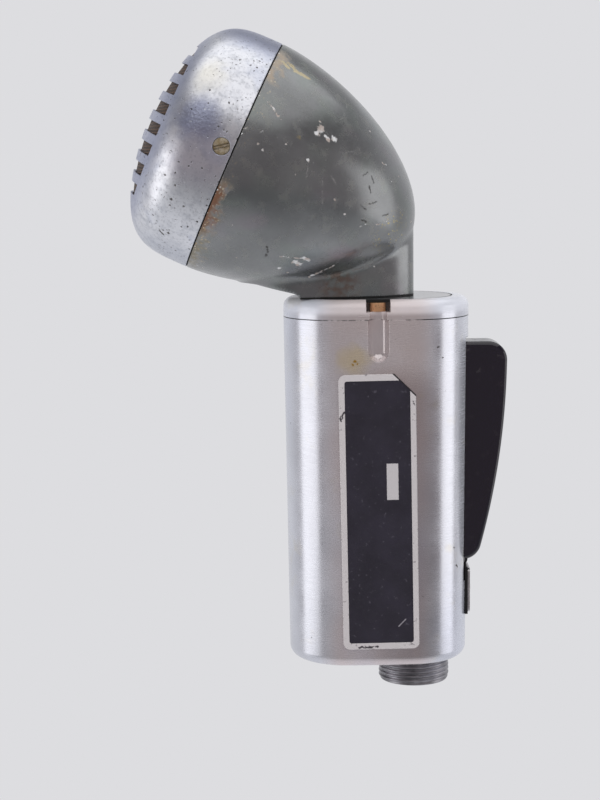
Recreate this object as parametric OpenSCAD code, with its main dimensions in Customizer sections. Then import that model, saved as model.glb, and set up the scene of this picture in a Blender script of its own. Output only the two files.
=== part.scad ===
// Hand and stand microphone: a tilted bell head on a cast grip with a talk lever.
// The origin is the mouth of the stand thread in the grip's floor. +X is the talk lever's side,
// +Z is up, and the head faces -X.

/* [Grip] */
// Width of the grip at its top, across its round ends
grip_w = 53.2; // [51:0.2:58]
// Thickness of the grip at its top, which is also the diameter of its round ends
grip_t = 35; // [34:0.5:37]
// Height of the grip without its cap
grip_h = 100; // [97:0.1:110]
// Draft of the cast sides, in degrees
grip_draft = 0.5; // [0:0.1:0.8]
// Wall of the grip
grip_wall = 2.6; // [2.2:0.1:3]
// Thickness of the grip's floor
grip_floor = 4; // [3:0.5:6]
// Radius of the grip's bottom edge
grip_edge_r = 3; // [1.5:0.5:3.5]
// Width of the relief groove under each cap screw
groove_w = 6; // [4:0.5:7]
// Depth of the relief groove
groove_depth = 2.5; // [1.5:0.1:2.6]
// Length of the relief groove below the cap
groove_len = 11.8; // [8:0.2:16]

/* [Cap] */
// Height of the cap
cap_h = 5.6; // [5.4:0.1:7]
// Radius of the cap's top edge
cap_edge_r = 2.8; // [1:0.2:2.8]
// Width of the cap screw's pocket
pocket_w = 6.8; // [6:0.2:8]
// Width of the groove in the cap
cap_groove_w = 5; // [3:0.5:5.5]
// Length of the foot plate let into the cap
plate_w = 43; // [38:0.5:43]
// Depth of the foot plate, front to back
plate_t = 28; // [27:0.5:28]
// Thickness of the foot plate
plate_h = 0.9; // [0.7:0.1:1]
// Width of the rubber seal round the foot plate
seal_w = 0.5; // [0.3:0.1:0.5]
// Diameter of a cap screw's head
cap_screw_head_d = 4.5; // [4:0.1:4.8]
// Diameter of the small machine screws
screw_d = 2.84; // [2.5:0.02:3]

/* [Stand and connector] */
// Distance from the grip's centre line to the stand thread
stand_offset = 10; // [9.5:0.1:10.2]
// Bore of the five-eighths inch stand thread, at its crests
stand_bore_d = 14.9; // [14.7:0.1:15.1]
// Length of the stand thread
stand_len = 14; // [10:0.5:18]
// Diameter of the boss that holds the stand thread
stand_boss_d = 19; // [18.4:0.2:19]
// Distance from the grip's centre line to the connector
plug_offset = 10.6; // [10.6:0.1:11]
// Diameter of the connector's threaded collar
collar_d = 20.6; // [19:0.1:20.8]
// Height of the collar below the grip
collar_h = 7.5; // [6:0.1:10]
// Bore of the collar
collar_bore_d = 17.4; // [16.6:0.1:18]
// Depth of the socket in the collar
socket_depth = 6; // [4:0.1:7]
// Diameter of the connector's stem in the grip's floor
stem_d = 17; // [15.6:0.1:17.2]

/* [Head] */
// Tilt of the head above level, in degrees
head_tilt = 24.5; // [22:0.5:26]
// Radius of the head at its seam
head_r = 34.2; // [33.5:0.1:36]
// Reach of the bell behind the seam
bell_len = 55; // [52:0.2:56]
// Wall of the bell
bell_wall = 2.2; // [1.8:0.1:2.6]
// Distance from the grip's centre line to the seam's centre, towards the front
head_x = 39.9; // [39:0.1:42]
// Height of the seam's centre above the cap
head_z = 40; // [39:0.1:43]
// Reach of the ring in front of the seam
ring_len = 26.3; // [25:0.1:30]
// Wall of the ring
ring_wall = 2; // [1.6:0.1:2.4]
// Thickness of the bars between the slots
bar_t = 0.7; // [0.6:0.1:1.2]
// Number of slots in the grille
slot_count = 8; // [6:1:8]
// Distance from one slot to the next
slot_pitch = 5.9; // [5.5:0.02:6]
// Width of a slot
slot_w = 3.2; // [2.4:0.1:3.8]
// Radius of the slotted field
slot_field_r = 25.9; // [25.2:0.1:26.4]
// Rise of the slotted field above the ring's axis
slot_rise = 1.5; // [0:0.1:1.6]
// Distance from the seam to the ring's screws
ring_screw_z = 3.3; // [3.1:0.1:5]
// Rise of the ring's screws above its axis
ring_screw_rise = 1.6; // [0:0.1:3]
// Diameter of a ring screw's head
ring_screw_d = 4.7; // [4:0.1:5.2]

/* [Neck] */
// Length of the neck's foot
neck_w = 32.6; // [30:0.2:33]
// Depth of the neck's foot, front to back
neck_t = 24; // [22:0.5:28]
// Distance from the grip's centre line to the neck's rear edge
neck_rear = 10.9; // [10.5:0.1:11.2]
// Thickness of the gasket under the neck
gasket_t = 0.5; // [0.3:0.1:0.8]
// Bore of the wire channel in the neck
channel_d = 9; // [8:0.5:10]

/* [Talk lever] */
// Width of the lever
lever_w = 11.5; // [11:0.1:12]
// Sheet of the lever
lever_sheet = 1.2; // [1:0.1:1.4]
// How far the lever stands out of the grip's end
lever_proud = 10.9; // [9:0.1:12]
// Distance from the grip's top down to the lever's top
lever_drop = 7.6; // [7:0.1:9]
// Radius of the lever's long bowed back
lever_bow_r = 220; // [200:5:260]
// Radius of the lever's top corner
lever_corner_r = 5.4; // [3:0.1:6]
// Radius of the lever's lower end
lever_heel_r = 5.5; // [5:0.1:6]
// Height of the pivot above the floor
pivot_z = 28.9; // [28:0.1:30]
// Distance of the pivot inside the grip's end
pivot_in = 2; // [1.8:0.1:2.4]
// Diameter of the pivot pin
pivot_d = 2.5; // [2:0.1:2.6]
// Angle that the lever swings through when it is pressed, in degrees
press_angle = 4; // [2:0.5:4]

/* [Name plate] */
// Width of the name plate
label_w = 21.8; // [18:0.1:22]
// Height of the name plate
label_h = 79.3; // [70:0.1:80]
// Thickness of the name plate
label_t = 0.4; // [0.3:0.1:0.6]
// Lean of the name plate, in degrees
label_lean = 0.7; // [0:0.1:1.2]
// Distance from the grip's top to the name plate's top
label_drop = 15.1; // [13.5:0.1:17]
// Cut across the name plate's upper corner
label_nick = 6.5; // [2:0.5:8]

/* [Hidden] */
$fn = 64;

slack = 0.3;       // gap between pieces that move past each other
run_fit = 0.05;    // radial clearance of a pin in its bore
over = 1;          // how far a cut runs past the face it opens
grip_x = stand_offset;
plug_x = grip_x + plug_offset;
grip_r = grip_t / 2;
grip_span = grip_w - grip_t;
cap_z = grip_h + cap_h;

// Grip
function grip_side(z, inset) = grip_r - inset - (grip_h - z) * tan(grip_draft);
function grip_end(z) = grip_x + grip_span / 2 + grip_side(z, 0);

// A profile of [distance from the middle, height] points carried round a stadium of this span.
module stadium_turned(profile, span) {
    for (side = [-1, 1])
        translate([side * span / 2, 0, 0])
            rotate([0, 0, -side * 90])
                rotate_extrude(angle = 180)
                    polygon(profile);
    for (side = [0, 1])
        mirror([0, side, 0])
            translate([-span / 2, 0, 0])
                rotate([90, 0, 90])
                    linear_extrude(span)
                        polygon(profile);
}

module stadium_block(w, t, h) {
    stadium_turned([[0, 0], [t / 2, 0], [t / 2, h], [0, h]], w - t);
}

// Points of an arc about (x, z), from one angle to another.
function arc(x, z, r, from, to, steps = 10) =
    [for (i = [0:steps]) let (a = from + (to - from) * i / steps) [x + r * cos(a), z + r * sin(a)]];

grip_profile = concat(
    [[0, 0]],
    arc(grip_side(grip_edge_r, 0) - grip_edge_r, grip_edge_r, grip_edge_r, -90, 0),
    [[grip_side(grip_h, 0), grip_h], [0, grip_h]]
);
cavity_profile = [
    [0, grip_floor],
    [grip_side(grip_floor, grip_wall), grip_floor],
    [grip_side(grip_h, grip_wall), grip_h + over],
    [0, grip_h + over]
];

// Cap screws
cap_screw_head_h = 2.45;
cap_screw_y = grip_r - 4.3;
cap_screw_len = 8;
pocket_floor = cap_h - plate_h - slack / 6 - cap_screw_head_h;
boss_w = 11;
boss_in = cap_screw_y - 3.6;
boss_drop = groove_len + 3;
clear_r = screw_d / 2 + 0.08;

// Places a child at the front and at the back cap screw, turned to face outwards.
module both_cap_screws() {
    for (turn = [0, 180])
        translate([grip_x, 0, 0])
            rotate([0, 0, turn])
                translate([0, -cap_screw_y, 0])
                    children();
}

// Slot for the talk lever
lever_top = grip_h - lever_drop;
ear_r = 2.2;
slot_side = lever_w / 2 + slack + 0.1;
slot_low = pivot_z - 6.5;
slot_high = lever_top + 1.3;
pivot_x = grip_end(pivot_z) - pivot_in;

// Flat at the foot of the slot, which seats the lever's bracket
bracket_h = 14;
bracket_low = pivot_z - ear_r - slack - bracket_h;
bracket_t = 0.85;
bracket_w = 9.6;
bracket_cover_t = 0.65;
bracket_cover_h = 13;
flat_x = grip_end(bracket_low) - 0.5;
bracket_screw_z = bracket_low + bracket_h / 2;

// Switch
switch_h = 16;
switch_w = 10;
switch_len = 13;
switch_drop = 19.5;
switch_z = lever_top - switch_drop;
pusher_t = 1.6;
pusher_x = grip_end(lever_top) - grip_wall - 1.4;
switch_front = pusher_x - slack - 5.3;
switch_x = switch_front - switch_len;
plunger_d = 3.2;
plunger_travel = (switch_z - pivot_z) * tan(press_angle);
switch_holes = [[switch_x + 2.5, switch_z - 5.5], [switch_front - 2.5, switch_z + 5.5]];

module grip_body() {
    color([0.76, 0.76, 0.78])
        difference() {
            union() {
                difference() {
                    translate([grip_x, 0, 0]) stadium_turned(grip_profile, grip_span);
                    translate([grip_x, 0, 0]) stadium_turned(cavity_profile, grip_span);
                }
                translate([0, 0, over]) cylinder(d = stand_boss_d, h = stand_len - over);
                cap_screw_bosses();
                bracket_screw_boss();
                switch_posts();
            }
            translate([0, 0, -over]) cylinder(d = stand_bore_d, h = stand_len + 2 * over);
            translate([plug_x, 0, -over]) cylinder(d = stem_d + 2 * run_fit, h = grip_floor + 2 * over);
            both_cap_screws() {
                translate([0, 0, grip_h - cap_screw_len]) cylinder(r = clear_r, h = cap_screw_len + over);
                grip_groove();
            }
            lever_slot();
            translate([flat_x, -bracket_w / 2 - slack, bracket_low - slack])
                cube([grip_wall + over, bracket_w + 2 * slack, bracket_h + 2 * slack]);
            translate([flat_x - 5, 0, bracket_screw_z])
                rotate([0, 90, 0]) cylinder(r = clear_r, h = 5 + over);
            for (hole = switch_holes)
                translate([hole[0], switch_w / 2 - over, hole[1]])
                    rotate([-90, 0, 0]) cylinder(r = clear_r, h = 5 + over);
        }
}

// Local to a cap screw: -Y is outwards, and the screw's axis is the Z axis.
module cap_screw_bosses() {
    low = grip_h - boss_drop;
    out = grip_side(low, grip_wall / 2);
    both_cap_screws()
        translate([-boss_w / 2, cap_screw_y - out, low]) cube([boss_w, out - boss_in, boss_drop]);
}

module grip_groove() {
    r = groove_w / 2;
    y = -(grip_r - cap_screw_y) - r + groove_depth;
    translate([0, y, grip_h - groove_len + r]) {
        cylinder(r = r, h = groove_len - r + over);
        sphere(r = r);
    }
}

module lever_slot() {
    translate([grip_x + grip_span / 2, -slot_side, slot_low])
        cube([grip_r + over, 2 * slot_side, slot_high - slot_low]);
}

module bracket_screw_boss() {
    translate([flat_x - 5, 0, bracket_screw_z]) rotate([0, 90, 0]) cylinder(d = 2.4 * screw_d, h = 4);
}

module switch_posts() {
    back = grip_side(slot_low, grip_wall / 2);
    for (hole = switch_holes)
        translate([hole[0], switch_w / 2, hole[1]])
            rotate([-90, 0, 0]) cylinder(d = 2 * screw_d, h = back - switch_w / 2);
}

// Cap
recess_w = plate_w + 2 * seal_w;
recess_t = plate_t + 2 * seal_w;
cap_hollow = cap_h - plate_h - 2.2;
neck_front = neck_rear - neck_w;
neck_screw_xs = [neck_front + 5.6, neck_rear - 7];
channel_x = (neck_screw_xs[0] + neck_screw_xs[1]) / 2;
neck_screw_len = 9;

module top_cap() {
    profile = concat(
        [[0, 0], [grip_r, 0]],
        arc(grip_r - cap_edge_r, cap_h - cap_edge_r, cap_edge_r, 0, 90),
        [[0, cap_h]]
    );
    hollow_r = grip_r - grip_wall;
    color([0.76, 0.76, 0.78])
        difference() {
            translate([grip_x, 0, grip_h])
                difference() {
                    stadium_turned(profile, grip_span);
                    difference() {
                        translate([0, 0, -over])
                            stadium_block(grip_span + 2 * hollow_r, 2 * hollow_r, cap_hollow + over);
                        for (side = [-1, 1])
                            translate([-boss_w / 2, side > 0 ? boss_in : -grip_r, -2 * over])
                                cube([boss_w, grip_r - boss_in, cap_hollow + 3 * over]);
                    }
                    translate([0, 0, cap_h - plate_h]) stadium_block(recess_w, recess_t, plate_h + over);
                }
            both_cap_screws() cap_screw_pocket();
            neck_fixings(grip_h, plate_h + cap_h);
        }
}

// The pocket's floor carries the screw's head, and the groove runs down from it.
module cap_screw_pocket() {
    reach = grip_r - cap_screw_y + over;
    r = cap_groove_w / 2;
    translate([-pocket_w / 2, -reach, grip_h + pocket_floor]) cube([pocket_w, reach, cap_h]);
    translate([0, 0, grip_h + pocket_floor]) cylinder(d = pocket_w, h = cap_h);
    translate([0, 0, grip_h - over]) cylinder(r = clear_r, h = cap_h);
    translate([0, -(grip_r - cap_screw_y), grip_h - over]) cylinder(r = r, h = cap_h);
}

// Wire channel and screw holes, from this height upwards.
module neck_fixings(z, h) {
    translate([grip_x + channel_x, 0, z - over]) cylinder(d = channel_d, h = h + 2 * over);
    for (x = neck_screw_xs)
        translate([grip_x + x, 0, z - over]) cylinder(r = clear_r, h = h + 2 * over);
}

module cap_screws() {
    color([0.75, 0.5, 0.3])
        both_cap_screws() {
            translate([0, 0, grip_h + pocket_floor - cap_screw_len]) cylinder(d = screw_d, h = cap_screw_len);
            translate([0, 0, grip_h + pocket_floor])
                difference() {
                    cylinder(d = cap_screw_head_d, h = cap_screw_head_h);
                    translate([-cap_screw_head_d, -0.4, cap_screw_head_h - 1])
                        cube([2 * cap_screw_head_d, 0.8, 2]);
                }
        }
}

module foot_plate() {
    color([0.7, 0.7, 0.72])
        difference() {
            translate([grip_x, 0, cap_z - plate_h]) stadium_block(plate_w, plate_t, plate_h);
            neck_fixings(cap_z - plate_h, plate_h);
        }
}

module plate_seal() {
    color([0.06, 0.06, 0.06])
        translate([grip_x, 0, cap_z - plate_h])
            difference() {
                stadium_block(recess_w, recess_t, plate_h);
                translate([0, 0, -over]) stadium_block(plate_w, plate_t, plate_h + 2 * over);
            }
}

// Neck: half an ellipse in plan behind its blunt front, and a chin that runs up into the bell
chin_len = 16;
chin_rise = 4.1;
chin_step = 0.6;
function half_ellipse(a, b, from, n = 12) =
    [for (i = [1:2 * n - 1]) let (t = from + 90 * i / n) [neck_front + a * cos(t), b * sin(t)]];
neck_foot = concat(
    [[neck_front, -neck_t / 2]],
    half_ellipse(neck_w, neck_t / 2, -90),
    [[neck_front, neck_t / 2]]
);
neck_plan = concat(neck_foot, half_ellipse(chin_len, neck_t / 2, 90));
neck_side = [
    [neck_front, gasket_t], [neck_rear + over, gasket_t], [neck_rear + over, head_z],
    [neck_front - chin_len, head_z], [neck_front - chin_len, gasket_t + chin_rise],
    [neck_front - 1, gasket_t + chin_step]
];

module neck_gasket() {
    color([0.05, 0.05, 0.05])
        difference() {
            translate([grip_x, 0, cap_z]) linear_extrude(gasket_t) polygon(neck_foot);
            neck_fixings(cap_z, gasket_t);
        }
}

module neck_screws() {
    head_h = 1.6;
    web = cap_h - cap_hollow;
    color([0.6, 0.6, 0.6])
        for (x = neck_screw_xs)
            translate([grip_x + x, 0, grip_h + cap_hollow]) {
                cylinder(d = screw_d, h = web + gasket_t + neck_screw_len - 1);
                translate([0, 0, -head_h]) cylinder(d = 1.9 * screw_d, h = head_h);
            }
}

// Head: local +Z is the way the head faces and local +X its upper side
seam_x = grip_x - head_x;
seam_z = cap_z + head_z;
seam_gap = 0.2;
lip_len = 7;
lip_out = head_r - ring_wall - 0.2;
lip_in = lip_out - 2;

module at_head() {
    translate([seam_x, 0, seam_z]) rotate([0, head_tilt - 90, 0]) children();
}

// Radius of the bell at a distance behind the seam, from its own reach and radius.
function bell_r(back, r, len) = r * pow(1 - pow(back / len, 1.65), 0.55);
function bell_points(r, len, steps) =
    [for (i = [0:steps]) let (b = len * sin(90 * i / steps)) [bell_r(b, r, len), -b]];

module bell_solid(inset, steps) {
    rotate_extrude() polygon(concat([[0, 0]], bell_points(head_r - inset, bell_len - inset, steps)));
}

module head_shell() {
    color([0.42, 0.44, 0.43])
        difference() {
            union() {
                difference() {
                    union() {
                        at_head() difference() {
                            bell_solid(0, 24);
                            translate([0, 0, -seam_gap]) cylinder(r = head_r + over, h = over);
                        }
                        neck_solid();
                    }
                    at_head() bell_solid(bell_wall, 20);
                }
                at_head()
                    translate([0, 0, -lip_len])
                        difference() {
                            cylinder(r = lip_out, h = 2 * lip_len);
                            translate([0, 0, -over]) cylinder(r = lip_in, h = 2 * lip_len + 2 * over);
                        }
            }
            translate([grip_x + channel_x, 0, cap_z]) cylinder(d = channel_d, h = head_z * 0.6);
            for (x = neck_screw_xs)
                translate([grip_x + x, 0, cap_z]) cylinder(r = clear_r, h = neck_screw_len + gasket_t);
            at_head() ring_screw_bores();
        }
}

module neck_solid() {
    rear_h = head_z - (neck_rear + head_x) * tan(head_tilt) + 6;
    intersection() {
        translate([grip_x, 0, cap_z]) linear_extrude(head_z) polygon(neck_plan);
        translate([grip_x, 0, cap_z]) upright(2 * neck_t) polygon(neck_side);
        neck_trim(rear_h);
    }
}

// Keeps the neck under the head's own axis plane, and the rear edge up to the bell's widest point.
module neck_trim(rear_h) {
    at_head() translate([-2 * bell_len, -bell_len, -2 * bell_len]) cube(2 * bell_len);
    translate([grip_x + neck_rear - 4, -neck_t, cap_z]) cube([8, 2 * neck_t, rear_h]);
}

module seam_gasket() {
    color([0.04, 0.04, 0.04])
        at_head()
            translate([0, 0, -seam_gap])
                difference() {
                    cylinder(r = head_r - 0.3, h = 2 * seam_gap);
                    translate([0, 0, -over]) cylinder(r = lip_out + 0.1, h = 2 * seam_gap + 2 * over);
                }
}

// Ring: height of the dome at a distance from its axis.
function dome_z(r, out_r, len) = len * pow(max(0, 1 - pow(r / out_r, 1.7)), 0.24);
function dome_points(out_r, len, steps) =
    [for (i = [0:steps]) let (r = out_r * sin(90 * i / steps)) [r, dome_z(r, out_r, len)]];

module dome_solid(inset, steps) {
    rotate_extrude() polygon(concat([[0, 0]], dome_points(head_r - inset, ring_len - inset, steps)));
}

function slot_x(i) = slot_rise + (i - (slot_count - 1) / 2) * slot_pitch;

module slot_cuts(out_r, low, high) {
    intersection() {
        translate([0, 0, low]) cylinder(r = out_r, h = high - low);
        for (i = [0:slot_count - 1])
            translate([slot_x(i) - slot_w / 2, -out_r - over, low - over])
                cube([slot_w, 2 * out_r + 2 * over, high - low + 2 * over]);
    }
}

// Places a child at each of the ring's two screws, this far out, turned to face outwards.
module both_ring_screws(out) {
    for (side = [0, 1])
        mirror([0, side, 0])
            translate([ring_screw_rise, -out, ring_screw_z])
                rotate([90, 0, 0])
                    children();
}

module ring_screw_bores() {
    both_ring_screws(lip_in - over) cylinder(r = clear_r, h = head_r);
}

module grille_ring() {
    color([0.7, 0.7, 0.72])
        at_head()
            difference() {
                dome_solid(0, 24);
                dome_solid(ring_wall, 20);
                screen_seat();
                translate([0, 0, -over]) cylinder(r = head_r + over, h = over + seam_gap);
                slot_cuts(slot_field_r, ring_len / 2, ring_len + over);
                ring_screw_bores();
                both_ring_screws(head_r - ring_screw_sunk) cylinder(d = ring_screw_d + 2 * run_fit, h = 3);
            }
}

ring_screw_sunk = 1.1;
ring_screw_head_h = 1.3;
screen_r = slot_field_r + 1;
screen_t = 0.5;

// Seat inside the ring that thins the bars and holds the screen close behind them.
module screen_seat() {
    intersection() {
        dome_solid(bar_t, 24);
        cylinder(r = screen_r + 0.2, h = ring_len);
    }
}

module grille_screen() {
    steps = 12;
    inset = bar_t + 0.1;
    high = [for (i = [0:steps]) let (r = screen_r * i / steps)
        [r, dome_z(r, head_r - inset, ring_len - inset)]];
    low = [for (i = [steps:-1:0]) high[i] - [0, screen_t]];
    color([0.2, 0.13, 0.09])
        at_head() rotate_extrude() polygon(concat(high, low));
}

module ring_screws() {
    color([0.72, 0.62, 0.42])
        at_head()
            both_ring_screws(head_r - ring_screw_sunk) {
                difference() {
                    cylinder(d = ring_screw_d, h = ring_screw_head_h);
                    rotate([0, 0, -27])
                        translate([-ring_screw_d, -0.4, ring_screw_head_h - 0.6])
                            cube([2 * ring_screw_d, 0.8, 2]);
                }
                translate([0, 0, -3.2]) cylinder(d = screw_d, h = 3.2);
            }
}

// Capsule, a magnetic unit in a rubber mounting ring behind the grille
cushion_t = 5.9;
cushion_h = 8;
cushion_groove = 1.2;
case_r = lip_in - 0.2 - cushion_t;
case_back = 10;
case_front = 7;
case_wall = 1.4;
cover_t = 1.2;
cover_ring = case_r / 2;
diaphragm_z = case_front - 1.2;
diaphragm_t = 0.3;
cone_r = 11;
cone_drop = 3;
pole_half = 10;

module capsule_cushion() {
    color([0.1, 0.09, 0.09])
        at_head()
            difference() {
                translate([0, 0, -cushion_h / 2]) cylinder(r = lip_in - 0.1, h = cushion_h);
                translate([0, 0, -cushion_h / 2 - over]) cylinder(r = case_r + 0.1, h = cushion_h + 2 * over);
                for (side = [-1, 1])
                    translate([0, 0, side * cushion_h / 4 - cushion_groove / 2])
                        difference() {
                            cylinder(r = lip_in + over, h = cushion_groove);
                            translate([0, 0, -over])
                                cylinder(r = lip_in - cushion_groove, h = cushion_groove + 2 * over);
                        }
            }
}

module capsule_case() {
    color([0.25, 0.25, 0.27])
        at_head()
            difference() {
                translate([0, 0, -case_back]) cylinder(r = case_r, h = case_back + case_front);
                translate([0, 0, -case_back + case_wall])
                    cylinder(r = case_r - case_wall, h = case_back + case_front);
                for (side = [-1, 1])
                    translate([0, side * 5, -case_back - over]) cylinder(d = 2, h = case_wall + 2 * over);
            }
}

module capsule_cover() {
    color([0.5, 0.5, 0.5])
        at_head()
            translate([0, 0, case_front])
                difference() {
                    cylinder(r = case_r, h = cover_t);
                    translate([0, 0, -over]) cylinder(d = 5, h = cover_t + 2 * over);
                    for (i = [0:7])
                        rotate([0, 0, 45 * i])
                            translate([cover_ring, 0, -over]) cylinder(d = 4, h = cover_t + 2 * over);
                }
}

module diaphragm() {
    r = case_r - case_wall - 0.1;
    color([0.8, 0.8, 0.8])
        at_head()
            translate([0, 0, diaphragm_z])
                rotate_extrude()
                    polygon([
                        [0, -cone_drop], [1, -cone_drop], [cone_r, 0], [r, 0],
                        [r, diaphragm_t], [cone_r, diaphragm_t],
                        [1, diaphragm_t - cone_drop], [0, diaphragm_t - cone_drop]
                    ]);
}

armature_z = -3;
armature_t = 0.8;
armature_w = 5;
pole_w = 8;
pole_t = 3;
magnet_w = 6;
magnet_len = 14;
magnet_h = 7;

module drive_pin() {
    low = armature_z + armature_t;
    color([0.7, 0.6, 0.4])
        at_head() translate([0, 0, low]) cylinder(d = 1, h = diaphragm_z - cone_drop - low);
}

module armature() {
    color([0.5, 0.5, 0.52])
        at_head()
            translate([-pole_half, -armature_w / 2, armature_z])
                cube([2 * pole_half, armature_w, armature_t]);
}

module pole_pieces() {
    color([0.45, 0.45, 0.47])
        at_head()
            for (side = [-1, 1])
                translate([side > 0 ? pole_half - pole_t : -pole_half, -pole_w / 2, case_wall - case_back])
                    cube([pole_t, pole_w, armature_z + case_back - case_wall]);
}

module magnets() {
    color([0.3, 0.3, 0.32])
        at_head()
            for (side = [-1, 1])
                translate([side * (pole_half + magnet_w / 2), 0, case_wall - case_back])
                    translate([-magnet_w / 2, -magnet_len / 2, 0])
                        cube([magnet_w, magnet_len, magnet_h]);
}

coil_h = 5;
flange_r = 6.7;
flange_t = 0.6;

module coil_bobbin() {
    z = -case_back + case_wall;
    color([0.5, 0.3, 0.15])
        at_head()
            translate([0, 0, z])
                difference() {
                    union() {
                        cylinder(r = 2.4, h = coil_h);
                        cylinder(r = flange_r, h = flange_t);
                        translate([0, 0, coil_h - flange_t]) cylinder(r = flange_r, h = flange_t);
                    }
                    translate([0, 0, -over]) cylinder(r = 1.6, h = coil_h + 2 * over);
                    for (side = [-1, 1])
                        translate([0, side * 5, -over]) cylinder(d = 2, h = coil_h + 2 * over);
                }
}

module coil_winding() {
    color([0.6, 0.3, 0.15])
        at_head()
            translate([0, 0, -case_back + case_wall + flange_t])
                difference() {
                    cylinder(r = 4, h = coil_h - 2 * flange_t);
                    translate([0, 0, -over]) cylinder(r = 2.4, h = coil_h + 2 * over);
                }
}

module capsule_terminals() {
    color([0.8, 0.7, 0.4])
        at_head()
            for (side = [-1, 1])
                translate([0, side * terminal_y, -case_back - terminal_len]) {
                    cylinder(d = 1.9, h = terminal_len + case_wall);
                    translate([0, 0, 2.5]) cylinder(d = 3.4, h = 1.5);
                }
}

// Name plate, which lies on the drafted front face
module name_plate() {
    low = grip_h - label_drop - label_h;
    mid = low + label_h / 2;
    corner = 2;
    w = label_w / 2;
    h = label_h / 2;
    in_w = w - corner;
    in_h = h - corner;
    color([0.12, 0.1, 0.15])
        translate([grip_x, -grip_side(mid, 0), mid])
            rotate([90 + grip_draft, 0, 0])
                rotate([0, 0, label_lean])
                    linear_extrude(label_t)
                        polygon(concat(
                            arc(-in_w, -in_h, corner, 180, 270, 4),
                            arc(in_w, -in_h, corner, 270, 360, 4),
                            [[w, h - label_nick], [w - label_nick, h]],
                            arc(-in_w, in_h, corner, 90, 180, 4)
                        ));
}

// Talk lever, a pressed channel that turns about a pin at its heel
lever_out = grip_end(lever_top) + lever_proud;
lever_in = grip_end(lever_top) - 2.4;
stop_x = grip_x + grip_span / 2 + sqrt(pow(grip_r - grip_wall, 2) - pow(lever_w / 2, 2)) - slack - 0.3;
stop_t = 1.8;
spring_bar_t = 1.2;

bow_z = lever_top - lever_corner_r / 2;
heel_z = pivot_z + lever_heel_r - 0.2;
bow_end = asin((bow_z - heel_z) / (lever_bow_r - lever_heel_r));
heel_x = lever_out - lever_bow_r + (lever_bow_r - lever_heel_r) * cos(bow_end);

// Side view: a round top corner, a long bow, a round lower end and the ear about the pivot.
module lever_outline(inset) {
    corner = lever_out - lever_corner_r;
    polygon(concat(
        [[lever_in, lever_top - inset]],
        arc(corner, lever_top - lever_corner_r, lever_corner_r - inset, 90, 0),
        arc(lever_out - lever_bow_r, bow_z, lever_bow_r - inset, -1.5, -bow_end),
        arc(heel_x, heel_z, lever_heel_r - inset, -bow_end, -90),
        [[pivot_x - ear_r + inset, pivot_z]]
    ));
    translate([pivot_x, pivot_z]) circle(r = ear_r - inset);
}

module upright(width) {
    translate([0, width / 2, 0]) rotate([90, 0, 0]) linear_extrude(width) children();
}

module talk_lever() {
    inner = lever_w - 2 * lever_sheet;
    tab_in = stop_x - stop_t;
    pusher_h = 6;
    pusher_low = switch_z - pusher_h / 2;
    color([0.05, 0.05, 0.06])
        difference() {
            union() {
                difference() {
                    upright(lever_w) lever_outline(0);
                    upright(inner) lever_outline(lever_sheet);
                    translate([lever_in - 8, -inner / 2, pivot_z - 8])
                        cube([11, inner, lever_top - pivot_z + 8 - lever_sheet]);
                }
                for (side = [-1, 1])
                    translate([0, side * (lever_w - lever_sheet) / 2, 0]) {
                        translate([tab_in, -lever_sheet / 2, slot_high - 8])
                            cube([lever_in - tab_in + 1, lever_sheet, 5]);
                        translate([tab_in, -lever_sheet / 2, slot_high - 8])
                            cube([stop_t, lever_sheet, 10]);
                    }
                translate([pivot_x - spring_bar_t / 2, -lever_w / 2, pivot_z + 5])
                    cube([spring_bar_t, lever_w, 2]);
                translate([pusher_x, -lever_w / 2, pusher_low]) cube([pusher_t, lever_w, pusher_h]);
                for (y = [-lever_w / 2, lever_w / 2 - lever_sheet])
                    translate([pusher_x, y, pusher_low])
                        cube([lever_in - pusher_x + 1, lever_sheet, pusher_h]);
            }
            translate([pivot_x, lever_w, pivot_z])
                rotate([90, 0, 0]) cylinder(d = pivot_d + 2 * run_fit, h = 2 * lever_w);
        }
}

ear_t = 1.2;
ear_out = lever_w / 2 - lever_sheet - slack;

module lever_bracket() {
    color([0.06, 0.06, 0.07])
        difference() {
            union() {
                translate([flat_x, -bracket_w / 2, bracket_low]) cube([bracket_t, bracket_w, bracket_h]);
                for (side = [-1, 1])
                    translate([0, side * (ear_out - ear_t / 2), 0])
                        upright(ear_t) {
                            translate([pivot_x, pivot_z]) circle(r = ear_r);
                            translate([pivot_x - ear_r + 0.4, slot_low + slack])
                                square([flat_x - pivot_x + ear_r, pivot_z - slot_low - slack]);
                        }
            }
            translate([pivot_x, lever_w, pivot_z]) rotate([90, 0, 0]) cylinder(d = pivot_d, h = 2 * lever_w);
            translate([flat_x - over, 0, bracket_screw_z])
                rotate([0, 90, 0]) cylinder(r = clear_r, h = bracket_t + 2 * over);
        }
}

// Bright plate over the bracket
module bracket_cover() {
    corner = 1.2;
    w = bracket_w / 2 - corner;
    h = bracket_cover_h / 2 - corner;
    color([0.7, 0.7, 0.72])
        translate([flat_x + bracket_t, 0, bracket_screw_z])
            rotate([90, 0, 90])
                difference() {
                    linear_extrude(bracket_cover_t)
                        polygon(concat(
                            arc(w, h, corner, 0, 90, 4), arc(-w, h, corner, 90, 180, 4),
                            arc(-w, -h, corner, 180, 270, 4), arc(w, -h, corner, 270, 360, 4)
                        ));
                    translate([0, 0, -over]) cylinder(r = clear_r, h = bracket_cover_t + 2 * over);
                }
}

module lever_pivot() {
    color([0.6, 0.6, 0.62])
        translate([pivot_x, lever_w / 2, pivot_z]) rotate([90, 0, 0]) cylinder(d = pivot_d, h = lever_w);
}

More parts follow.
